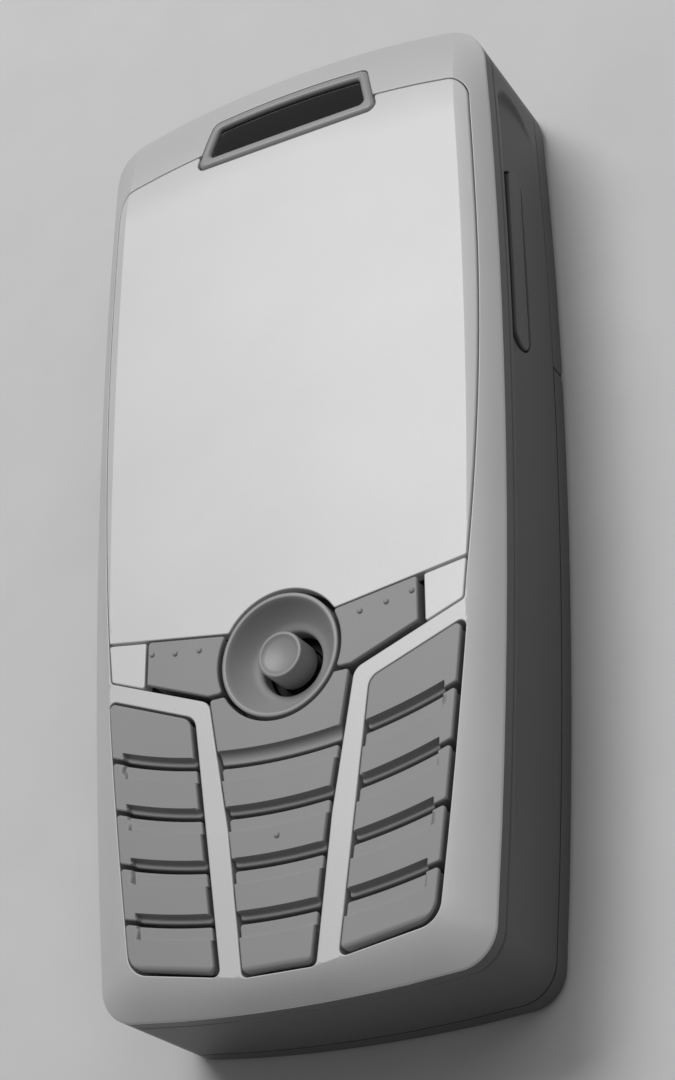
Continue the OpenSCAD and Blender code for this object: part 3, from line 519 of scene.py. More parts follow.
class PhonePlan:
    """Lines of the phone seen from the front, in millimetres"""

    # Radii of the sides, the ends and the corners, and how far above the middle the phone is widest
    SIDE_R, TOP_R, BOTTOM_R, CORNER_R, TOP_CORNER_R = 726, 100, 175, 4, 5.6
    WIDE_UP = 20.5
    # Depths of the front shell and the back covers, rounding and thickness of the covers
    FRONT_DEPTH, BACK_DEPTH, BACK_ROUND, COVER = 3.9, 3.1, 1.0, 1.2
    # How far the outline and the crease run on past the top end
    OUTLINE_RUN, CREASE_RUN = 12, 10
    # Straight share of the border's fall, and half the length over which its width changes
    BORDER_SLANT, BORDER_TURN = 0.51, 6
    # Bezel below the keypad, row pitch, first row below the dish, bow of the rows and how they flatten
    BEZEL, PITCH, FIRST_ROW, ROW_R, ROW_FLAT = 2.7, 5.1, 10.6, 53, 1.6
    # Lens: margins, narrowing towards its lower end, lower edge and its rise, thickness
    LENS_TOP, LENS_SIDE, LENS_DRAW, LENS_LOW, LENS_RISE, LENS_T = 7.7, 1.65, 1.5, 2.6, 0.152, 1.4
    # Where the lens begins to narrow, above the widest place, and the rounding of its top corners
    LENS_FULL, LENS_CORNER = 5, 3
    # Arms: width, rise, rounding of the bend, bow of the lower run, places of the bend and the foot
    ARM_W, ARM_RISE, ARM_BEND_R, ARM_BOW = 1.8, 0.39, 1.6, 0.4
    ARM_BEND_X, ARM_BEND_LOW, ARM_FOOT_X = 7.94, 3.2, 3.8
    # Outer key columns: margin, narrowing, lower corner, and where their lower edge begins and ends
    KEYPAD_SIDE, KEYPAD_DRAW, KEYPAD_CORNER = 2.95, 0.056, 2.5
    COLUMN_FOOT_X, COLUMN_FOOT_UP, COLUMN_END_UP = 2.3, 0.4, 2.1
    # Depth of the keys below the front, corners of the keypad's feet, softkeys' outer end and lower edge
    KEY_DEEP, FOOT_R = 3.4, 0.6
    SOFTKEY_END, SOFTKEY_LOW = 15.36, 2.8
    # Earpiece ring: half widths of its lower and upper edge, height, margin above, band and ends
    RING_LOW, RING_UP, RING_H, RING_TOP, RING_BAND, RING_SIDE = 11.3, 9.7, 7.3, 3.2, 1.4, 1.2
    # Gap round the dish, and height of the split between the back covers
    DISH_ROOM, SPLIT = 0.4, 14.0
    # Side key: its middle, length, height, and how far the edge of its face lies inside the outline
    SIDE_KEY_Y, SIDE_KEY_Z, SIDE_KEY_L, SIDE_KEY_H, SIDE_KEY_SINK = 23.7, 9.6, 21.8, 3.3, 0.48

    def __init__(self, sizes):
        for name in PhoneSizes.__annotations__:
            setattr(self, name, getattr(sizes, name) / MM)
        self.low, self.top = -self.body_length / 2, self.body_length / 2
        self.parting = self.body_depth - self.FRONT_DEPTH
        self.keypad_low = self.low + self.BEZEL
        self.dish_y = self.keypad_low + LAST_ROW * self.PITCH + self.FIRST_ROW
        self.arm_bend = np.array((self.ARM_BEND_X, self.dish_y - self.ARM_BEND_LOW))
        self.arm_foot = np.array((self.ARM_FOOT_X, self.keypad_low))
        self.arm_mid = (self.arm_bend + self.arm_foot) / 2 - (self.ARM_BOW, 0)
        self.key_top = self.body_depth + self.key_proud
        self.key_corner = self.key_edge + 0.12
        self.outline = self.trace_outline(0)
        self.long_outline = self.trace_outline(self.OUTLINE_RUN)
        self.crease = self.trace_crease()
        self.ring_low = self.top - self.RING_TOP - self.RING_H

    def half_x(self, y):
        """Half the width of the phone."""
        return self.body_width / 2 - self.SIDE_R + np.sqrt(self.SIDE_R ** 2 - (y - self.WIDE_UP) ** 2)

    def top_line(self, x):
        return self.top - self.TOP_R + np.sqrt(self.TOP_R ** 2 - x * x)

    def bottom_line(self, x):
        return self.low + self.BOTTOM_R - np.sqrt(self.BOTTOM_R ** 2 - x * x)

    def row_y(self, row):
        return self.dish_y - self.FIRST_ROW - row * self.PITCH

    def row_bow(self, row):
        """Bow radius of the lower edge of a row."""
        return self.ROW_R + self.ROW_FLAT * row ** 2

    def arm_line(self, x):
        return self.arm_bend[1] + self.ARM_RISE * (x - self.arm_bend[0])

    def lens_line(self, x):
        return self.dish_y + self.LENS_LOW + self.LENS_RISE * abs(x)

    def lens_edge(self, y):
        """Half the width of the lens."""
        full = self.WIDE_UP + self.LENS_FULL
        draw = max(0, full - y) / (full - self.dish_y - self.LENS_LOW)
        return self.half_x(y) - self.LENS_SIDE - self.LENS_DRAW * draw ** 2

    def keypad_edge(self, y):
        """Outer side of the opening for the right key column."""
        return self.half_x(y) - self.KEYPAD_SIDE - self.KEYPAD_DRAW * (self.dish_y - y)

    def trace_outline(self, rise):
        """Outline of the phone, with its top end moved up by rise."""
        low_y, top_y = self.bottom_line(self.half_x(self.low)), self.top_line(self.half_x(self.top)) + rise
        low_x, top_x = self.half_x(low_y), self.half_x(top_y)
        bottom = [(x, self.bottom_line(x), 0) for x in np.linspace(0, low_x, 8)[:-1]]
        side = [(self.half_x(y), y, 0) for y in np.linspace(low_y, top_y, 18)[1:-1]]
        top = [(x, self.top_line(x) + rise, 0) for x in np.linspace(top_x, 0, 11)[1:]]
        right = [(low_x, low_y, self.CORNER_R)] + side + [(top_x, top_y, self.TOP_CORNER_R)] + top
        return trace(bottom + right + flip(right[:-1]) + flip(bottom[1:]), 1.0)

    def crease_x(self, y):
        """Half the width of the flat front."""
        draw = self.KEYPAD_DRAW * max(0, self.dish_y - y)
        turn = (self.dish_y - self.BORDER_TURN, self.dish_y + self.BORDER_TURN)
        inset = np.interp(y, turn, (self.KEYPAD_SIDE, self.border_width))
        return self.half_x(y) - inset - draw

    def trace_crease(self):
        """Edge of the flat front, outside which the border falls away. It runs out over the top end."""
        foot, _, _, low = self.outer_lines()
        side = [(self.crease_x(y), y, 0) for y in np.linspace(low[1], self.top + self.CREASE_RUN, 26)[1:]]
        right = [(*self.arm_foot, 0), (*foot, 0), (*low, self.KEYPAD_CORNER)] + side
        return trace(right + flip(right), 1.0)

    def front(self, p):
        """Height of the front: flat within the crease, falling to the sharp edge and to the top end."""
        out = distance(self.long_outline, p) * np.where(inside(self.long_outline, p), 1, -1)
        near = distance(self.crease, p)
        share = np.where(inside(self.crease, p), 0, near / np.maximum(near + out, 0.01))
        side = self.BORDER_SLANT * share + (1 - self.BORDER_SLANT) * share ** 2
        end = np.clip(1 + (p[:, 1] - self.top_line(p[:, 0])) / self.slope_length, 0, 1.02) ** 2
        return self.body_depth - self.border_drop * (1 - (1 - side) * (1 - end))

    def front_lines(self):
        """Lines along the crease and across the top slope."""
        steps = (-0.35, -0.12, -0.04, 0.04, 0.12, 0.35, 0.8, 1.3, 1.8, 2.3, 2.8, 3.4, 4.0)
        rows = [moved(self.crease, d) for d in steps]
        reach = 22.4
        xs = np.arange(-reach, reach + 0.1, 0.8)
        for fall in np.arange(0.5, self.slope_length + 1, 0.9):
            row = np.column_stack((xs, self.top_line(xs) - fall))
            rows.append(row[np.abs(xs) < self.crease_x(self.top - fall) - 0.6])
        return rows

    def dish_side(self, line):
        """Width at which a line meets the round opening of the dish."""
        x = self.dish_radius
        room = self.dish_radius + self.DISH_ROOM
        for _ in range(12):
            x = math.sqrt(room ** 2 - (line(x) - self.dish_y) ** 2)
        return x

    def dish_arc(self, start, end):
        """Corners along the round opening of the dish between two angles."""
        room = self.dish_radius + self.DISH_ROOM
        turns = np.linspace(start, end, 26)[1:-1]
        return [(room * math.cos(t), self.dish_y + room * math.sin(t), 0) for t in turns]

    def trim_corners(self):
        """Lower and upper outer corner of the right trim."""
        x = self.lens_edge(self.dish_y)
        low_x, high_x = self.lens_edge(self.arm_line(x)), self.lens_edge(self.lens_line(x))
        return (low_x, self.arm_line(low_x)), (high_x, self.lens_line(high_x))

    def lens_right(self):
        """Right side of the lens, from its lower corner to where its top edge meets the ring."""
        high = self.trim_corners()[1]
        top_x = self.lens_edge(self.top_line(self.half_x(self.top)) - self.LENS_TOP)
        top_y = self.top_line(top_x) - self.LENS_TOP
        side = [(self.lens_edge(y), y, 0) for y in np.linspace(high[1], top_y, 24)[1:-1]]
        meet = self.ring_meet()
        top = [(x, self.top_line(x) - self.LENS_TOP, 0) for x in np.linspace(top_x, meet[0], 7)[1:-1]]
        return side + [(top_x, top_y, self.LENS_CORNER)] + top

    def ring_line(self, x):
        """Upper edge of the earpiece ring."""
        return self.top_line(x) - self.RING_TOP

    def ring_side(self, y):
        """Half the width of the earpiece ring."""
        share = (y - self.ring_low) / (self.ring_line(self.RING_UP) - self.ring_low)
        return self.RING_LOW - (self.RING_LOW - self.RING_UP) * share

    def ring_loop(self, inset, side, low_r, up_r):
        """Path of the earpiece ring, drawn in by inset along its edges and by side at its ends."""
        low_x = self.ring_side(self.ring_low + inset) - side
        up_x = self.ring_side(self.ring_line(self.RING_UP) - inset) - side
        arc = [(x, self.ring_line(x) - inset, 0) for x in np.linspace(up_x, 0, 7)[1:]]
        right = [(low_x, self.ring_low + inset, low_r), (up_x, self.ring_line(up_x) - inset, up_r)] + arc
        return trace(right + flip(right[:-1]), 0.4)

    def ring_meet(self):
        """Corner where the top edge of the lens meets the earpiece ring."""
        x = self.RING_LOW
        for _ in range(8):
            y = self.top_line(x) - self.LENS_TOP
            x = self.ring_side(y)
        return x, y

    def lens_loop(self):
        """Path of the lens, cut out for the earpiece ring and the dish."""
        x, r = self.dish_side(self.lens_line), 0.4
        right = [(x, self.lens_line(x), r), (*self.trim_corners()[1], r)] + self.lens_right()
        right += [(*self.ring_meet(), r), (self.RING_LOW, self.ring_low, 0.9)]
        rise = math.atan2(self.lens_line(x) - self.dish_y, x)
        return moved(trace(right + flip(right) + self.dish_arc(math.pi - rise, rise)), -self.lens_gap)

    def well_loop(self):
        """Opening of the front for the lens, the trims, the ring, the dish and the middle keys."""
        low, high = self.trim_corners()
        right = [(*self.arm_foot, self.FOOT_R), (*self.arm_mid, 0), (*self.arm_bend, self.ARM_BEND_R)]
        right += [(*low, 0.5), (*high, 0)] + self.lens_right()
        right += [(*self.ring_meet(), 0.2), (self.RING_UP, self.ring_line(self.RING_UP), 1.1)]
        right += [(x, self.ring_line(x), 0) for x in np.linspace(self.RING_UP, 0, 7)[1:]]
        return trace(right + flip(right[:-1]))

    def trim_loop(self):
        """Path of the right trim, between its softkey, arm and lens."""
        low, high = self.trim_corners()
        end, r = self.SOFTKEY_END, 0.35
        corners = [(end, self.arm_line(end), r), (*low, 0.55), (*high, r), (end, self.lens_line(end), r)]
        return moved(trace(corners, 0.3), -self.lens_gap)

    def outer_bend(self):
        """Bend of the arm's other edge, beside the right key column."""
        far = np.array((self.SOFTKEY_END, self.arm_line(self.SOFTKEY_END)))
        m, n = right_of(self.arm_mid, self.arm_bend), right_of(self.arm_bend, far)
        return self.arm_bend + self.ARM_W * (m + n) / (1 + m @ n)

    def outer_lines(self):
        """Lower inner corner, bend, upper outer corner and lower outer corner of the right key column."""
        bend = self.outer_bend()
        foot = np.array((self.arm_foot[0] + self.COLUMN_FOOT_X, self.keypad_low + self.COLUMN_FOOT_UP))
        top_y = bend[1] + self.ARM_RISE * (self.half_x(self.dish_y) - self.KEYPAD_SIDE - bend[0])
        low_y = self.keypad_low + self.COLUMN_END_UP
        return foot, bend, (self.keypad_edge(top_y), top_y), (self.keypad_edge(low_y), low_y)

    def column_loop(self):
        """Opening of the front for the right key column."""
        foot, bend, top, low = self.outer_lines()
        side = [(self.keypad_edge(y), y, 0) for y in np.linspace(low[1], top[1], 9)[1:-1]]
        corners = [(*foot, self.FOOT_R), (*low, self.KEYPAD_CORNER)] + side
        return trace(corners + [(*top, self.FOOT_R), (*bend, self.ARM_BEND_R)])

    def arc_y(self, row, shift, x):
        """Lower edge of a row, moved down by shift."""
        bow = self.row_bow(row)
        return self.row_y(row) + bow - math.sqrt((bow + shift) ** 2 - x * x)

    def meet(self, edge, row, shift):
        """Corner where an edge of a column meets the lower edge of a row."""
        x = 8.0
        for _ in range(12):
            y = self.arc_y(row, shift, x)
            x = edge(y)
        return x, self.arc_y(row, shift, x)

    def middle_edge(self, y):
        """Right side of the keys of the middle column."""
        heights = (self.arm_foot[1], self.arm_mid[1], self.arm_bend[1])
        widths = (self.arm_foot[0], self.arm_mid[0], self.arm_bend[0])
        return float(np.interp(y, heights, widths)) - self.key_gap * 1.02

    def inner_edge(self, y):
        """Inner side of the keys of the right column."""
        foot, bend, _, _ = self.outer_lines()
        return foot[0] + (y - foot[1]) * (bend[0] - foot[0]) / (bend[1] - foot[1]) + self.key_gap * 1.01

    def far_edge(self, y):
        """Outer side of the keys of the right column."""
        return self.keypad_edge(y) - self.key_gap

    def arc(self, row, shift, start, end):
        """Corners along a row's edge between two widths, without its ends."""
        count = max(3, round(abs(end - start) / 1.1))
        return [(x, self.arc_y(row, shift, x), 0) for x in np.linspace(start, end, count + 1)[1:-1]]

    def key_corners(self, row, middle):
        """Corners of a key of the middle or the right column."""
        inner = (lambda y: -self.middle_edge(y)) if middle else self.inner_edge
        outer = self.middle_edge if middle else self.far_edge
        return self.key_below(row, middle, inner, outer) + self.key_above(row, middle, inner, outer)

    def row_corners(self, row, shift, start, end):
        """Corners along the edge of a row, from one side of its column to the other."""
        a, b = self.meet(start, row, shift), self.meet(end, row, shift)
        return [(*a, self.key_corner)] + self.arc(row, shift, a[0], b[0]) + [(*b, self.key_corner)]

    def key_below(self, row, middle, inner, outer):
        """Corners along the lower edge of a key, from its inner to its outer side."""
        if row < LAST_ROW:
            return self.row_corners(row, -self.row_gap / 2, inner, outer)
        if middle:
            y = self.keypad_low + self.key_gap
            return [(inner(y), y, self.FOOT_R), (outer(y), y, self.FOOT_R)]
        foot, _, _, low = self.outer_lines()
        near_y, far_y = (corner[1] + self.key_gap * 1.01 for corner in (foot, low))
        far_r = self.KEYPAD_CORNER - self.key_gap
        return [(inner(near_y), near_y, self.FOOT_R), (outer(far_y), far_y, far_r)]

    def key_above(self, row, middle, inner, outer):
        """Corners along the upper edge of a key, from its outer to its inner side."""
        if row > 0:
            return self.row_corners(row - 1, self.row_gap / 2, outer, inner)
        if middle:
            line = self.dish_y - self.SOFTKEY_LOW - self.row_gap
            x = self.dish_side(lambda _: line)
            fall = math.atan2(line - self.dish_y, x)
            ear = [(outer(line), line, self.key_corner), (x, line, self.key_corner)]
            return ear + self.dish_arc(fall, -math.pi - fall) + flip(ear)
        _, bend, top, _ = self.outer_lines()
        far = outer(self.column_lid(top[0]))
        near = inner(self.column_lid(bend[0]))
        return [(far, self.column_lid(far), 0.5), (near, self.column_lid(near), self.ARM_BEND_R)]

    def column_lid(self, x):
        """Upper edge of the first key of the right column."""
        bend = self.outer_bend()
        return bend[1] + self.ARM_RISE * (x - bend[0]) - self.key_gap * math.hypot(1, self.ARM_RISE)

    def softkey_lid(self, x):
        """Upper edge of the right softkey."""
        return self.lens_line(x) - self.softkey_gap * 0.6

    def softkey_loop(self):
        """Path of the right softkey."""
        r, lid = self.key_corner, self.softkey_lid
        base = self.dish_y - self.SOFTKEY_LOW
        rise = self.softkey_gap * math.hypot(1, self.ARM_RISE)
        end = self.SOFTKEY_END - self.softkey_gap
        turn = self.arm_bend[0] + (base - self.arm_bend[1] - rise) / self.ARM_RISE
        near, far = self.dish_side(lambda _: base), self.dish_side(lid)
        corners = [(near, base, r), (turn, base, 0.8), (end, self.arm_line(end) + rise, r)]
        corners += [(end, lid(end), r), (far, lid(far), r)]
        high = math.atan2(lid(far) - self.dish_y, far)
        low = math.atan2(base - self.dish_y, near)
        return trace(corners + self.dish_arc(high, low), 0.25)


def plan_of(context):
    return PhonePlan(context.scene.phone_sizes)


def node(tree, kind, **inputs):
    """New node of a tree, with values on its inputs."""
    made = tree.nodes.new(kind)
    for name, value in inputs.items():
        made.inputs[name].default_value = value
    return made


def link_all(tree, links):
    """Links (node, output, node, input) in a tree."""
    for source, output, target, entry in links:
        tree.links.new(source.outputs[output], target.inputs[entry])


def finish(name, shade, roughness, grain=2600, depth=0.04, metal=0.0, coat=0.0):
    """Moulded surface: fine grain, and slight changes of tone and sheen over the piece."""
    if name in bpy.data.materials:
        return bpy.data.materials[name]
    material = bpy.data.materials.new(name)
    material.use_nodes = True
    tree = material.node_tree
    shader = tree.nodes["Principled BSDF"]
    shader.inputs["Metallic"].default_value = metal
    shader.inputs["Coat Weight"].default_value = coat
    shader.inputs["Coat Roughness"].default_value = 0.12
    place = tree.nodes.new("ShaderNodeTexCoord")
    fine = node(tree, "ShaderNodeTexNoise", Scale=grain, Detail=2.0, Roughness=0.6)
    broad = node(tree, "ShaderNodeTexNoise", Scale=70.0, Detail=3.0, Roughness=0.55)
    tone = tree.nodes.new("ShaderNodeValToRGB")
    for stop, position, gain in zip(tone.color_ramp.elements, (0.3, 0.7), (0.97, 1.02)):
        stop.position = position
        stop.color = (*(min(1, c * gain) for c in shade), 1)
    sheen = tree.nodes.new("ShaderNodeMapRange")
    sheen.inputs["To Min"].default_value = roughness * 0.93
    sheen.inputs["To Max"].default_value = roughness * 1.07
    bump = node(tree, "ShaderNodeBump", Strength=depth, Distance=0.0001)
    link_all(tree, (
        (place, "Object", fine, "Vector"), (place, "Object", broad, "Vector"),
        (broad, "Fac", tone, "Fac"), (tone, "Color", shader, "Base Color"),
        (fine, "Fac", sheen, "Value"), (sheen, "Result", shader, "Roughness"),
        (fine, "Fac", bump, "Height"), (bump, "Normal", shader, "Normal")))
    return material


def phone_finish(context, part):
    """Finish of one of the coloured parts."""
    colours = context.scene.phone_colours
    made = {
        "front_shell": dict(name="front_satin", shade=colours.front, roughness=0.42, metal=0.1),
        # The rear finish's dark grey is partly painted shade of the sides.
        "rear_shell": dict(name="rear_satin", shade=colours.rear, roughness=0.45),
        "lens": dict(name="lens_satin", shade=colours.lens, roughness=0.4, metal=0.05),
        "keys": dict(name="key_matt", shade=colours.keys, roughness=0.5),
        "dish": dict(name="dish_satin", shade=colours.dish, roughness=0.4),
        "ring": dict(name="ring_satin", shade=colours.ring, roughness=0.4),
        "cap": dict(name="cap_satin", shade=colours.cap, roughness=0.38),
        "window": dict(
            name="window_gloss", shade=colours.window, roughness=0.06, grain=900, depth=0.01, coat=1.0),
        "floor": dict(name="floor_paper", shade=colours.floor, roughness=0.85, grain=900, depth=0.02),
    }
    return finish(**made[part])


class PHONE_OT_front(bpy.types.Operator):
    """Front housing with its sloping border, arms and openings"""

    bl_idname = "phone.front"
    bl_label = "Front housing"

    def execute(self, context):
        plan = plan_of(context)
        column = plan.column_loop()
        loops = [plan.outline, plan.well_loop(), column, mirrored(column)]
        under = level(plan.parting + 0.02)
        # The outer wall band below the sharp edge takes the dark rear finish (shade=1): partly a two-tone
        # split at that edge, partly painted shade on the housing's own pale wall.
        form = Form().panel(
            FRONTWARD, loops, [plan.edge_round] * 4, plan.front, under, plan.front_lines(), shade=1)
        finishes = [phone_finish(context, part) for part in ("front_shell", "rear_shell")]
        dress(form.build("front_housing_shell", *finishes), "housing", "front_shell", "front_housing")
        return {"FINISHED"}


class PHONE_OT_lens(bpy.types.Operator):
    """Blank lens and the two trims at its lower corners"""

    bl_idname = "phone.lens"
    bl_label = "Lens and trims"

    def execute(self, context):
        plan = plan_of(context)
        material = phone_finish(context, "lens")
        under = level(plan.body_depth - plan.LENS_T)
        trim = plan.trim_loop()
        loops = {"display_lens": plan.lens_loop(), "trim_right": trim, "trim_left": mirrored(trim)}
        for name, loop in loops.items():
            form = Form().panel(FRONTWARD, [loop], [plan.edge_round], plan.front, under, plan.front_lines())
            dress(form.build(name + "_panel", material), "housing", "lens", name)
        return {"FINISHED"}


class PHONE_OT_earpiece(bpy.types.Operator):
    """Round-edged earpiece ring and its glossy window"""

    bl_idname = "phone.earpiece"
    bl_label = "Earpiece"

    def execute(self, context):
        plan = plan_of(context)
        fit, window_fit, edge = 0.04, 0.03, 0.55
        ring_foot, window_foot = 15.9, 15.65
        outer = plan.ring_loop(fit, fit, 0.9, 1.1)
        hole = plan.ring_loop(plan.RING_BAND, plan.RING_SIDE, 0.55, 0.6)
        lines = plan.front_lines()

        def band(p):
            return plan.front(p) + plan.ring_proud

        def pane(p):
            return band(p) - edge

        form = Form().panel(FRONTWARD, [outer, hole], [edge, edge], band, level(ring_foot), lines)
        ring = form.build("earpiece_ring_band", phone_finish(context, "ring"))
        dress(ring, "housing", "ring", "earpiece_ring")
        form = Form().panel(FRONTWARD, [moved(hole, -window_fit)], [0], pane, level(window_foot), lines)
        window = form.build("earpiece_window_pane", phone_finish(context, "window"))
        dress(window, "housing", "window", "earpiece_window")
        return {"FINISHED"}


def add_dots(plan, piece, places, material):
    """Low round dots on top of a key's piece, made by geometry nodes."""
    tree = bpy.data.node_groups.get("raised_dots") or dot_tree()
    seeds = bpy.data.meshes.new(piece.name + "_seeds")
    seeds.from_pydata([(x * MM, y * MM, plan.key_top * MM) for x, y in places], [], [])
    carrier = bpy.data.objects.new(piece.name + "_dots", seeds)
    bpy.context.scene.collection.objects.link(carrier)
    modifier = carrier.modifiers.new("Dots", "NODES")
    modifier.node_group = tree
    values = {"Radius": plan.dot_radius * MM, "Height": plan.dot_height * MM, "Finish": material}
    for item in tree.interface.items_tree:
        if item.in_out == "INPUT" and item.name in values:
            modifier[item.identifier] = values[item.name]
    evaluated = carrier.evaluated_get(bpy.context.evaluated_depsgraph_get())
    mesh = bpy.data.meshes.new_from_object(evaluated)
    carrier.modifiers.remove(modifier)
    carrier.data = mesh
    return carrier


def dot_tree():
    """Node tree that puts a flattened ball on each point."""
    tree = bpy.data.node_groups.new("raised_dots", "GeometryNodeTree")
    sockets = (
        ("Geometry", "INPUT", "NodeSocketGeometry"), ("Radius", "INPUT", "NodeSocketFloat"),
        ("Height", "INPUT", "NodeSocketFloat"), ("Finish", "INPUT", "NodeSocketMaterial"),
        ("Geometry", "OUTPUT", "NodeSocketGeometry"))
    for name, way, kind in sockets:
        tree.interface.new_socket(name, in_out=way, socket_type=kind)
    start, end = tree.nodes.new("NodeGroupInput"), tree.nodes.new("NodeGroupOutput")
    ball = node(tree, "GeometryNodeMeshUVSphere", Segments=24, Rings=14, Radius=1.0)
    size = tree.nodes.new("ShaderNodeCombineXYZ")
    spread = tree.nodes.new("GeometryNodeInstanceOnPoints")
    real = tree.nodes.new("GeometryNodeRealizeInstances")
    soft = tree.nodes.new("GeometryNodeSetShadeSmooth")
    coat = tree.nodes.new("GeometryNodeSetMaterial")
    link_all(tree, (
        (start, "Radius", size, "X"), (start, "Radius", size, "Y"), (start, "Height", size, "Z"),
        (start, "Geometry", spread, "Points"), (ball, "Mesh", spread, "Instance"),
        (size, "Vector", spread, "Scale"), (spread, "Instances", real, "Geometry"),
        (real, "Geometry", soft, "Geometry"), (soft, "Geometry", coat, "Geometry"),
        (start, "Finish", coat, "Material"), (coat, "Geometry", end, "Geometry")))
    return tree


class KeyTop:
    """Height of a key: flat, with a hollow along its lower edge and a lowered strip along its upper edge"""

    # Width and depth of the rounded foot of the last row
    FOOT_ROUND, FOOT_FALL = 0.6, 0.8
    # Widths over which hollows end at the rim and strips end below
    RIM_BLEND, NOTCH_BLEND = 0.22, 0.2
    # Depth, width and level strip of the hollow of the clear key
    CLEAR_COVE = 0.8, 1.25, 0.25

    def __init__(self, plan, row, middle):
        self.plan, self.row, self.middle = plan, row, middle
        self.drop, self.start, self.end = plan.cove_drop, plan.cove_width, plan.cove_flat
        if middle and row == 0:
            self.drop, self.start, self.end = self.CLEAR_COVE

    def rim(self, p):
        """1 where hollows and strips are, 0 along the flush rim of the outer columns."""
        if self.middle:
            return np.ones(len(p))
        plan = self.plan
        far = np.array([plan.far_edge(y) for y in p[:, 1]])
        return smooth((far - np.abs(p[:, 0]) - plan.rim_width) / self.RIM_BLEND)

    def from_row(self, p, row, shift):
        """Distance of points above the lower edge of a row."""
        bow = self.plan.row_bow(row)
        return bow + shift - np.hypot(p[:, 0], p[:, 1] - self.plan.row_y(row) - bow)

    def foot(self, p):
        """Distance above the lower edge of the last row."""
        plan = self.plan
        if self.middle:
            return p[:, 1] - plan.keypad_low - plan.key_gap
        a, _, _, b = plan.outer_lines()
        line = a[1] + (np.abs(p[:, 0]) - a[0]) * (b[1] - a[1]) / (b[0] - a[0])
        return p[:, 1] - line - plan.key_gap

    def __call__(self, p):
        plan = self.plan
        gap = plan.row_gap / 2
        fall = np.zeros(len(p))
        if self.row < LAST_ROW:
            above = self.from_row(p, self.row, -gap)
            fall += self.drop * cove((self.start - above) / (self.start - self.end))
        if self.row > 0:
            below = -self.from_row(p, self.row - 1, gap)
            fall += plan.notch_drop * smooth((plan.notch_height - below) / self.NOTCH_BLEND + 0.5)
        fall *= self.rim(p)
        if self.row == LAST_ROW:
            fall += self.FOOT_FALL * quarter_round(self.foot(p), self.FOOT_ROUND)
        return plan.key_top - fall

    def lines(self):
        """Lines along the hollow, the strip and the rounded foot."""
        plan = self.plan
        gap = plan.row_gap / 2
        reach = plan.body_width / 2
        xs = np.arange(-reach, reach, 0.5)
        close = self.columns(xs)
        rows = []
        if self.row < LAST_ROW:
            shares = np.array((-0.3, -0.06, 0.006, 0.03, 0.08, 0.16, 0.27, 0.4, 0.56, 0.75, 1.0))
            for above in self.start - shares * (self.start - self.end):
                rows.append([(x, plan.arc_y(self.row, -gap - above, x)) for x in close])
        else:
            for above in np.linspace(0.2, self.FOOT_ROUND + 0.1, 6):
                rows.append([(x, self.rise(x) + above) for x in xs])
        if self.row > 0:
            steps = np.linspace(plan.notch_height - 0.16, plan.notch_height + 0.16, 7)
            for below in (0.3, 0.45, 0.6, 0.75, 0.9, 1.03, *steps):
                rows.append([(x, plan.arc_y(self.row - 1, gap + below, x)) for x in close])
        return [np.array(row) for row in rows]

    def rise(self, x):
        """Lower edge of the last row."""
        return -float(self.foot(np.array(((x, 0.0),)))[0])

    def columns(self, xs):
        """Widths xs, with others closer together where hollows and strips end."""
        if self.middle:
            return xs
        plan = self.plan
        end = plan.far_edge(plan.row_y(self.row) + plan.PITCH / 2) - plan.rim_width
        return np.sort(np.concatenate((xs, np.arange(end - 0.7, end + 0.4, 0.055))))


class PHONE_OT_keys(bpy.types.Operator):
    """Fifteen keys with hollowed lower edges and lowered upper strips"""

    bl_idname = "phone.keys"
    bl_label = "Keys"

    # Distance of the dot on key 5 below the middle of the dish
    DOT_LOW = 18.3

    def execute(self, context):
        plan = plan_of(context)
        material = phone_finish(context, "keys")
        under = level(plan.body_depth - plan.KEY_DEEP)
        for row, names in enumerate(ROWS):
            for column, name in enumerate(names):
                top = KeyTop(plan, row, column == 1)
                loop = trace(plan.key_corners(row, column == 1), 0.1)
                lines = top.lines()
                if column == 0:
                    loop, lines = mirrored(loop), [line * (-1, 1) for line in lines]
                form = Form().panel(FRONTWARD, [loop], [plan.key_edge], top, under, lines, tuck=plan.key_tuck)
                dress(form.build(name + "_cap", material), name, "keys", name)
        dot = (0, plan.dish_y - self.DOT_LOW)
        dress(add_dots(plan, bpy.data.objects["key_5_cap"], [dot], material), "key_5", "keys")
        return {"FINISHED"}


class PHONE_OT_softkeys(bpy.types.Operator):
    """Two softkeys beside the dish, each with three raised dots"""

    bl_idname = "phone.softkeys"
    bl_label = "Softkeys"

    # Places of the dots on the right softkey, from the middle of the dish
    DOTS = ((14.4, 3.15), (11.7, 2.65), (8.9, 2.35))

    def execute(self, context):
        plan = plan_of(context)
        material = phone_finish(context, "keys")
        under = level(plan.body_depth - plan.KEY_DEEP)
        top = level(plan.key_top)
        right = plan.softkey_loop()
        for name, side, loop in (("softkey_right", 1, right), ("softkey_left", -1, mirrored(right))):
            form = Form().panel(FRONTWARD, [loop], [plan.key_edge], top, under, tuck=plan.key_tuck)
            piece = form.build(name + "_cap", material)
            dress(piece, name, "keys", name)
            places = [(side * x, plan.dish_y + up) for x, up in self.DOTS]
            dress(add_dots(plan, piece, places, material), name, "keys")
        return {"FINISHED"}


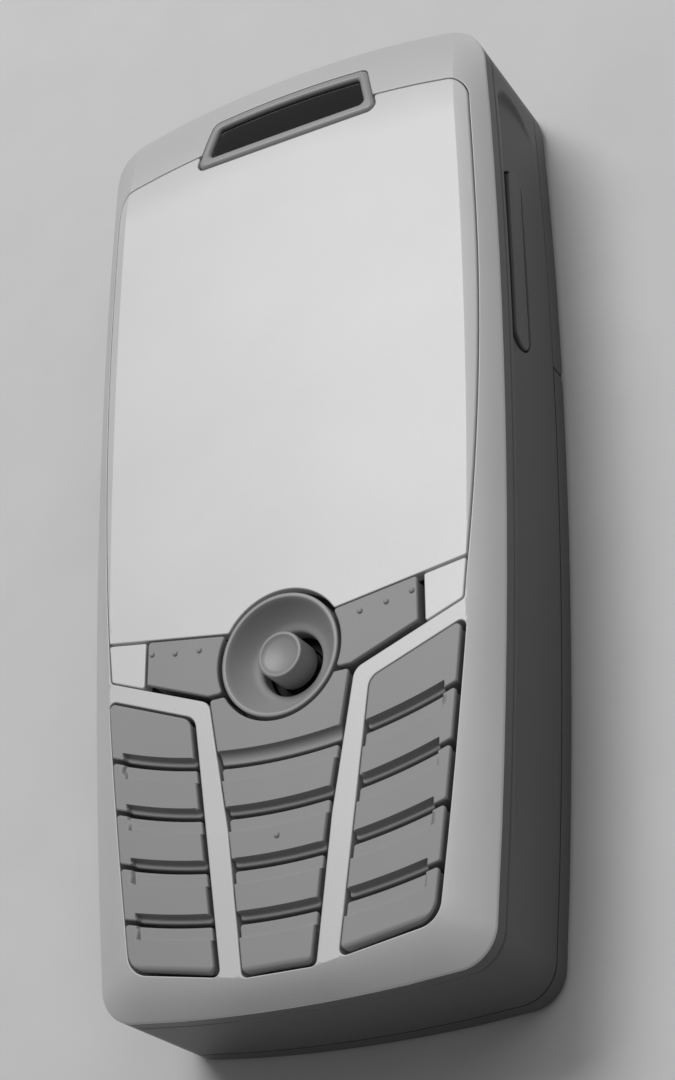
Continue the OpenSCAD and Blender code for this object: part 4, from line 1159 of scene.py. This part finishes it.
class PHONE_OT_navigation(bpy.types.Operator):
    """Concave navigation dish and the joystick cap in it"""

    bl_idname = "phone.navigation"
    bl_label = "Navigation"

    def execute(self, context):
        plan = plan_of(context)
        centre = (0, plan.dish_y)
        form = Form().turned(centre, trace(self.dish_corners(plan), 0.3))
        dish = form.build("nav_dish_bowl", phone_finish(context, "dish"))
        dress(dish, "housing", "dish", "nav_dish")
        form = Form().turned(centre, trace(self.cap_corners(plan), 0.3), 72)
        cap = form.build("joystick_cap_top", phone_finish(context, "cap"))
        dress(cap, "joystick_stick", "keys", "joystick_cap")
        return {"FINISHED"}

    def dish_corners(self, plan):
        """Section of the dish: skirt, narrow rim, bowl, and the collar round its hole."""
        radius, hole, wall, collar = plan.dish_radius, 3.3, 0.8, 0.35
        rim, depth, skirt = plan.body_depth + 0.3, 2.6, 6
        plate, foot = 15, 14.1
        brim, hollow = 0.62, 2.35
        shares = np.linspace(1, 0, 14)[:-1]
        corners = [(radius, rim - skirt, 0), (radius, rim, 0.17), (radius - 0.42, rim, 0.2)]
        corners += [(hole + (radius - brim - hole) * u, rim - depth + hollow * u ** 1.7, 0) for u in shares]
        corners += [(hole, rim - depth, 0.45), (hole, foot, 0), (hole + collar, foot, 0)]
        corners += [(hole + collar, plate, 0), (radius - wall, plate, 0)]
        return corners + [(radius - wall, rim - skirt, 0)]

    def cap_corners(self, plan):
        """Section of the joystick cap: post, rounded rim and shallow cup."""
        low, high, radius = 15.05, plan.body_depth + 0.25, 2.4
        rim, cup, rise, axis = 0.34, 1.8, 0.2, 0.01
        corners = [(axis, low, 0), (radius, low, 0), (radius, high, 0.16), (radius - rim, high, 0.14)]
        return corners + [(x, high - rim + rise * (x / cup) ** 2, 0) for x in (cup, 1.4, 1.0, 0.5, axis)]


class PHONE_OT_rear(bpy.types.Operator):
    """Rear housing with the scooped right side, its openings and the battery bay"""

    bl_idname = "phone.rear"
    bl_label = "Rear housing"

    # Share of the width outside which the outline counts as a side
    FLANK = 0.42
    # Long hollow of the right side: depth, upper edge and its fade, lower edge and its rise
    SCOOP_D, SCOOP_TOP, SCOOP_FADE, SCOOP_LOW, SCOOP_RISE = 0.8, 13.5, 2.2, 4.3, 7
    # Arch at the hollow's top end: its top, half width, bow and fade
    ARCH_Y, ARCH_HALF, ARCH_BOW, ARCH_FADE = 44.9, 4, 1.5, 0.9
    # Where the hollow ends near the bottom end, and the length over which it runs out
    SCOOP_END, SCOOP_RUN = -46, 16
    # Rounding of the upper and the lower rim
    HIGH_ROUND, LOW_ROUND = 0.42, 0.14
    # Charging socket: distance below the dish, height above the back, half length, half height, corners
    SOCKET_LOW, SOCKET_Z, SOCKET_L, SOCKET_H, SOCKET_R = 11, 9.5, 4.1, 1.2, 0.4
    # Room round the side key along and across its length, and how far its slot lies above it
    ROOM_L, ROOM_H, SLOT_UP = 0.2, 0.13, 0.07
    # Rounding of the edges of the side key's slot and of the socket
    SLOT_EDGE, SOCKET_EDGE = 0.16, 0.18

    def scoop(self, plan, y, z):
        """Depth of the long hollow of the right side."""
        lift = smooth((self.SCOOP_TOP - z) / self.SCOOP_FADE)
        lift = lift * np.clip((z - self.SCOOP_LOW) / self.SCOOP_RISE, 0, 1)
        arch = self.ARCH_Y - self.ARCH_BOW * ((z - plan.SIDE_KEY_Z) / self.ARCH_HALF) ** 2
        ends = smooth((arch - y) / self.ARCH_FADE) * smooth((y - self.SCOOP_END) / self.SCOOP_RUN)
        return self.SCOOP_D * lift * ends

    def side(self, plan, ground):
        """Height of the wall above the outline: rims rounded, right side hollowed."""
        def height(p):
            place = ground.at(ground.path, np.clip(p[:, 0], 0, ground.run[-1]))
            fall = quarter_round(plan.parting - p[:, 1], self.HIGH_ROUND)
            fall += quarter_round(p[:, 1] - plan.BACK_DEPTH, self.LOW_ROUND)
            right = place[:, 0] > plan.body_width * self.FLANK
            return -fall - np.where(right, self.scoop(plan, place[:, 1], p[:, 1]), 0)
        return height

    def flank_run(self, plan, ground, y, side):
        """Distance along the outline at height y of its right side, or of its left side where side is -1."""
        flank = plan.outline[:, 0] * side > plan.body_width * self.FLANK
        return np.interp(side * y, side * plan.outline[flank, 1], ground.run[:-1][flank])

    def execute(self, context):
        plan = plan_of(context)
        ground = Wrapped(plan.outline)
        run, low, high = ground.run, plan.BACK_DEPTH, plan.parting
        levels = np.concatenate((
            low + np.array((0.02, 0.05, 0.1, 0.16)), np.arange(low + 0.5, high - 0.6, 0.33),
            high - np.array((0.46, 0.4, 0.32, 0.24, 0.16, 0.1, 0.05, 0.02))))
        edge = [(t, low) for t in run] + [(run[-1], z) for z in levels]
        edge += [(t, high) for t in run[::-1]] + [(0, z) for z in levels[::-1]]
        key_t = self.flank_run(plan, ground, plan.SIDE_KEY_Y, 1)
        half_l, half_h = plan.SIDE_KEY_L / 2 + self.ROOM_L, plan.SIDE_KEY_H / 2 + self.ROOM_H
        slot = round_box(key_t, plan.SIDE_KEY_Z + self.SLOT_UP, half_l, half_h, half_h - 0.05)
        socket_t = self.flank_run(plan, ground, plan.dish_y - self.SOCKET_LOW, -1)
        port = round_box(socket_t, self.SOCKET_Z, self.SOCKET_L, self.SOCKET_H, self.SOCKET_R)
        arch = self.flank_run(plan, ground, np.arange(41.8, 45.5, 0.3), 1)
        lines = [np.array([(t, z) for z in levels]) for t in np.concatenate((run[1:-1], arch))]
        form = Form().panel(
            ground, [np.array(edge), slot, port], [0, self.SLOT_EDGE, self.SOCKET_EDGE],
            self.side(plan, ground), level(-plan.wall), lines,
            seam=lambda p: (p[:, 0] <= 0) | (p[:, 0] >= run[-1]))
        self.bay(plan, form)
        piece = form.build("rear_housing_shell", phone_finish(context, "rear_shell"))
        dress(piece, "housing", "rear_shell", "rear_housing")
        return {"FINISHED"}

    def bay(self, plan, form):
        """Floor, walls, rails and screw posts of the battery bay."""
        floor, lid, low = 7.4, 8.2, plan.BACK_DEPTH
        post_r, bore_r, head_r, post_top = 1.6, 0.7, 1.3, 10.6
        wall_y, wall_t = plan.SPLIT - 1.4, 1.2
        rail_low, rail_high, rail_z, rail_t = -42, 11.3, 6.2, 1
        posts = []
        for y in (plan.keypad_low + 3.1, plan.top - 7):
            x = plan.half_x(y) - plan.wall - 1.2
            posts += [(x, y), (-x, y)]
        # The lower heads stay clear of the side walls
        reach = abs(posts[0][0]) + 1.1
        heads = [round_path(x, y, head_r).clip((-reach, plan.low), (reach, plan.top)) for x, y in posts[:2]]
        ground = cut_across(moved(plan.outline, -plan.wall + 0.02), wall_y + wall_t, False)
        form.panel(FRONTWARD, [ground] + heads, [0, 0, 0], level(lid), level(floor))
        for y, thick in ((wall_y, wall_t), (plan.keypad_low + 4.15, 0.8)):
            reach = plan.half_x(y) - plan.wall
            form.block((-reach, y, low), (reach, y + thick, floor))
        for x in (-15.5, 14.5):
            form.block((x, rail_low, rail_z), (x + rail_t, rail_high, floor))
        section = ((post_r, low), (post_r, post_top), (bore_r, post_top),
                   (bore_r, lid), (head_r, lid), (head_r, low))
        for post in posts:
            form.turned(post, np.array(section), 32)


class PHONE_OT_back(bpy.types.Operator):
    """Upper back cover with its sound holes, and the battery cover"""

    bl_idname = "phone.back"
    bl_label = "Back covers"

    # Half the gap at the split, rounding of the edges along it, and width over which the rims end inside
    SPLIT_GAP, SPLIT_ROUND, RIM_STEP = 0.2, 0.2, 0.12
    # How much lower the rim of the sliding cover is
    SLIDE_ROOM = 0.1
    # Sound holes, as seen from behind: radius, rounding, spacing, middle of the row, height above the split
    HOLE_R, HOLE_EDGE, HOLE_STEP, HOLE_X, HOLE_UP = 0.6, 0.14, 2, -7.5, 10

    def outside(self, plan, split):
        """Height of a cover's outside: rounded along the outline and the split."""
        def height(p):
            rim = quarter_round(distance(plan.outline, p), plan.BACK_ROUND)
            return -rim - quarter_round(np.abs(p[:, 1] - split), self.SPLIT_ROUND)
        return height

    def underside(self, plan, rim):
        """Height of a cover's underside: a deep rim along the outline, and a thin plate within it."""
        def height(p):
            return -rim + (rim - plan.COVER) * smooth((distance(plan.outline, p) - plan.wall) / self.RIM_STEP)
        return height

    def execute(self, context):
        plan = plan_of(context)
        material = phone_finish(context, "rear_shell")
        turns = np.radians(np.arange(9, 91, 9))
        rows = [moved(plan.outline, -plan.BACK_ROUND * (1 - math.cos(a))) for a in turns]
        inner = [moved(plan.outline, -plan.wall - d) for d in (-0.02, 0.03, 0.06, 0.09, 0.14)]
        holes = [round_path(self.HOLE_X - self.HOLE_STEP * i, plan.SPLIT + self.HOLE_UP, self.HOLE_R)
                 for i in range(-2, 3)]
        covers = (("upper_back_cover", "housing", 1, holes, plan.BACK_DEPTH),
                  ("battery_cover", "battery_cover", -1, [], plan.BACK_DEPTH - self.SLIDE_ROOM))
        for name, body, side, cuts, rim in covers:
            split = plan.SPLIT + side * self.SPLIT_GAP
            loop = cut_across(plan.outline, split, side > 0)
            lines = [np.array([(x, split + side * e) for x in np.arange(-24, 24, 0.6)])
                     for e in (0.06, 0.12, 0.18, 0.26)]
            form = Form().panel(
                REARWARD, [loop] + cuts, [0] + [self.HOLE_EDGE] * len(cuts),
                self.outside(plan, split), self.underside(plan, rim), rows + lines, inner)
            dress(form.build(name + "_shell", material), body, "rear_shell", name)
        return {"FINISHED"}


class PHONE_OT_side_key(bpy.types.Operator):
    """Long rocking key of the right side"""

    bl_idname = "phone.side_key"
    bl_label = "Side key"

    def execute(self, context):
        plan = plan_of(context)
        crown, edge, thick = 0.1, 0.25, 1.8
        half_l, half_h = plan.SIDE_KEY_L / 2, plan.SIDE_KEY_H / 2
        loop = round_box(plan.SIDE_KEY_Y, plan.SIDE_KEY_Z, half_l, half_h, half_h - 0.05)
        face = plan.half_x(plan.SIDE_KEY_Y) - plan.SIDE_KEY_SINK

        def height(p):
            return face + crown * (1 - ((p[:, 1] - plan.SIDE_KEY_Z) / half_h) ** 2)

        lines = [np.array([(y, plan.SIDE_KEY_Z + z) for z in (-1.1, -0.7, -0.35, 0, 0.35, 0.7, 1.1)])
                 for y in np.arange(13.2, 34.4, 0.7)]
        form = Form().panel(RIGHTWARD, [loop], [edge], height, level(face - thick), lines)
        piece = form.build("side_key_bar", phone_finish(context, "rear_shell"))
        dress(piece, "side_key", "rear_shell", "side_key")
        return {"FINISHED"}


class PHONE_OT_insides(bpy.types.Operator):
    """Finishes of the pieces inside, which keep their CAD shapes"""

    bl_idname = "phone.insides"
    bl_label = "Insides"

    def execute(self, context):
        finishes = {
            "steel": finish("brushed_steel", (0.52, 0.52, 0.53), 0.32, grain=1800, depth=0.06, metal=1.0),
            "board": finish("board_green", (0.02, 0.09, 0.04), 0.4, grain=1200, depth=0.05, coat=0.4),
            "mat": finish("mat_rubber", (0.42, 0.42, 0.41), 0.7, grain=1500, depth=0.08),
            "dark_plastic": finish("dark_moulding", (0.03, 0.03, 0.032), 0.48, grain=2200, depth=0.06),
            "contact": finish("gilt_contact", (0.72, 0.5, 0.2), 0.25, grain=2000, depth=0.04, metal=1.0),
            "card": finish("card_plastic", (0.7, 0.68, 0.6), 0.45, grain=2400, depth=0.03),
        }
        # The joystick's works below the cap get a near-black finish in place of their own: painted shade, so
        # the hole round the cap looks dark and its metal shows no glints.
        painted_hole_shade = finish("joystick_painted_shade", (0.01, 0.01, 0.01), 0.8, grain=2200, depth=0.06)
        for row in frame["record"]["subparts"]:
            piece = frame["nodes"][row["node"]]
            material = painted_hole_shade if row["node"].startswith("joystick_") else finishes.get(row["material_slot"])
            if material and not piece.hide_render:
                for slot in piece.material_slots:
                    slot.material = material
        return {"FINISHED"}


class PHONE_OT_stage(bpy.types.Operator):
    """Camera, plain floor and soft studio light"""

    bl_idname = "phone.stage"
    bl_label = "Stage"

    def execute(self, context):
        scene = context.scene
        scene.view_settings.view_transform = "Standard"
        self.camera(scene)
        self.floor(context)
        self.lamp(scene, "key_light", (-0.25, 0.6, 1.0), 0.6, 8.0)
        self.lamp(scene, "fill_light", (0.5, 0.5, 0.9), 0.8, 1.5)
        world = bpy.data.worlds.new("studio")
        scene.world = world
        world.use_nodes = True
        back = world.node_tree.nodes["Background"]
        back.inputs["Color"].default_value = (1, 1, 1, 1)
        back.inputs["Strength"].default_value = 0.15
        return {"FINISHED"}

    def camera(self, scene):
        """Camera where the photograph was taken, with a focal length measured in its pixels."""
        focal, photo_height, sensor = 2166.48, 1080, 36
        lens = bpy.data.cameras.new("photo_camera")
        lens.sensor_width = sensor
        lens.lens = focal / photo_height * sensor
        lens.clip_start = 0.01
        camera = bpy.data.objects.new("photo_camera", lens)
        camera.location = (0.0949, -0.1068, 0.1802)
        camera.rotation_euler = [math.radians(turn) for turn in (27.7966, 28.8423, -0.4317)]
        scene.collection.objects.link(camera)
        scene.camera = camera

    def floor(self, context):
        """Plain floor, which isn't part of the phone."""
        reach = 2.5
        mesh = bpy.data.meshes.new("studio_floor")
        mesh.from_pydata([(i * reach, j * reach, 0) for i, j in BOX_CORNERS], [], [(0, 1, 2, 3)])
        mesh.materials.append(phone_finish(context, "floor"))
        floor = bpy.data.objects.new("studio_floor", mesh)
        context.scene.collection.objects.link(floor)

    def lamp(self, scene, name, place, size, power):
        """Square lamp that shines at the phone."""
        light = bpy.data.lights.new(name, "AREA")
        light.size = size
        light.energy = power
        lamp = bpy.data.objects.new(name, light)
        lamp.location = place
        lamp.rotation_euler = (-Vector(place)).to_track_quat("-Z", "Y").to_euler()
        scene.collection.objects.link(lamp)


class PHONE_PT_pieces(bpy.types.Panel):
    """Sizes, colours and pieces of the phone"""

    bl_idname = "PHONE_PT_pieces"
    bl_label = "Feature phone"
    bl_space_type = "VIEW_3D"
    bl_region_type = "UI"
    bl_category = "Phone"

    def draw(self, context):
        for group in (context.scene.phone_sizes, context.scene.phone_colours):
            column = self.layout.column(align=True)
            for name in type(group).__annotations__:
                column.prop(group, name)
        for operator in OPERATORS:
            self.layout.operator(operator.bl_idname)


OPERATORS = (
    PHONE_OT_stage, PHONE_OT_front, PHONE_OT_lens, PHONE_OT_earpiece, PHONE_OT_keys, PHONE_OT_softkeys,
    PHONE_OT_navigation, PHONE_OT_rear, PHONE_OT_back, PHONE_OT_side_key, PHONE_OT_insides)
CLASSES = (PhoneSizes, PhoneColours) + OPERATORS + (PHONE_PT_pieces,)


def register():
    for kind in CLASSES:
        bpy.utils.register_class(kind)
    bpy.types.Scene.phone_sizes = bpy.props.PointerProperty(type=PhoneSizes)
    bpy.types.Scene.phone_colours = bpy.props.PointerProperty(type=PhoneColours)


def unregister():
    del bpy.types.Scene.phone_colours
    del bpy.types.Scene.phone_sizes
    for kind in reversed(CLASSES):
        bpy.utils.unregister_class(kind)


def main():
    register()
    for operator in OPERATORS:
        group, name = operator.bl_idname.split(".")
        getattr(getattr(bpy.ops, group), name)()


if __name__ == "__main__":
    main()
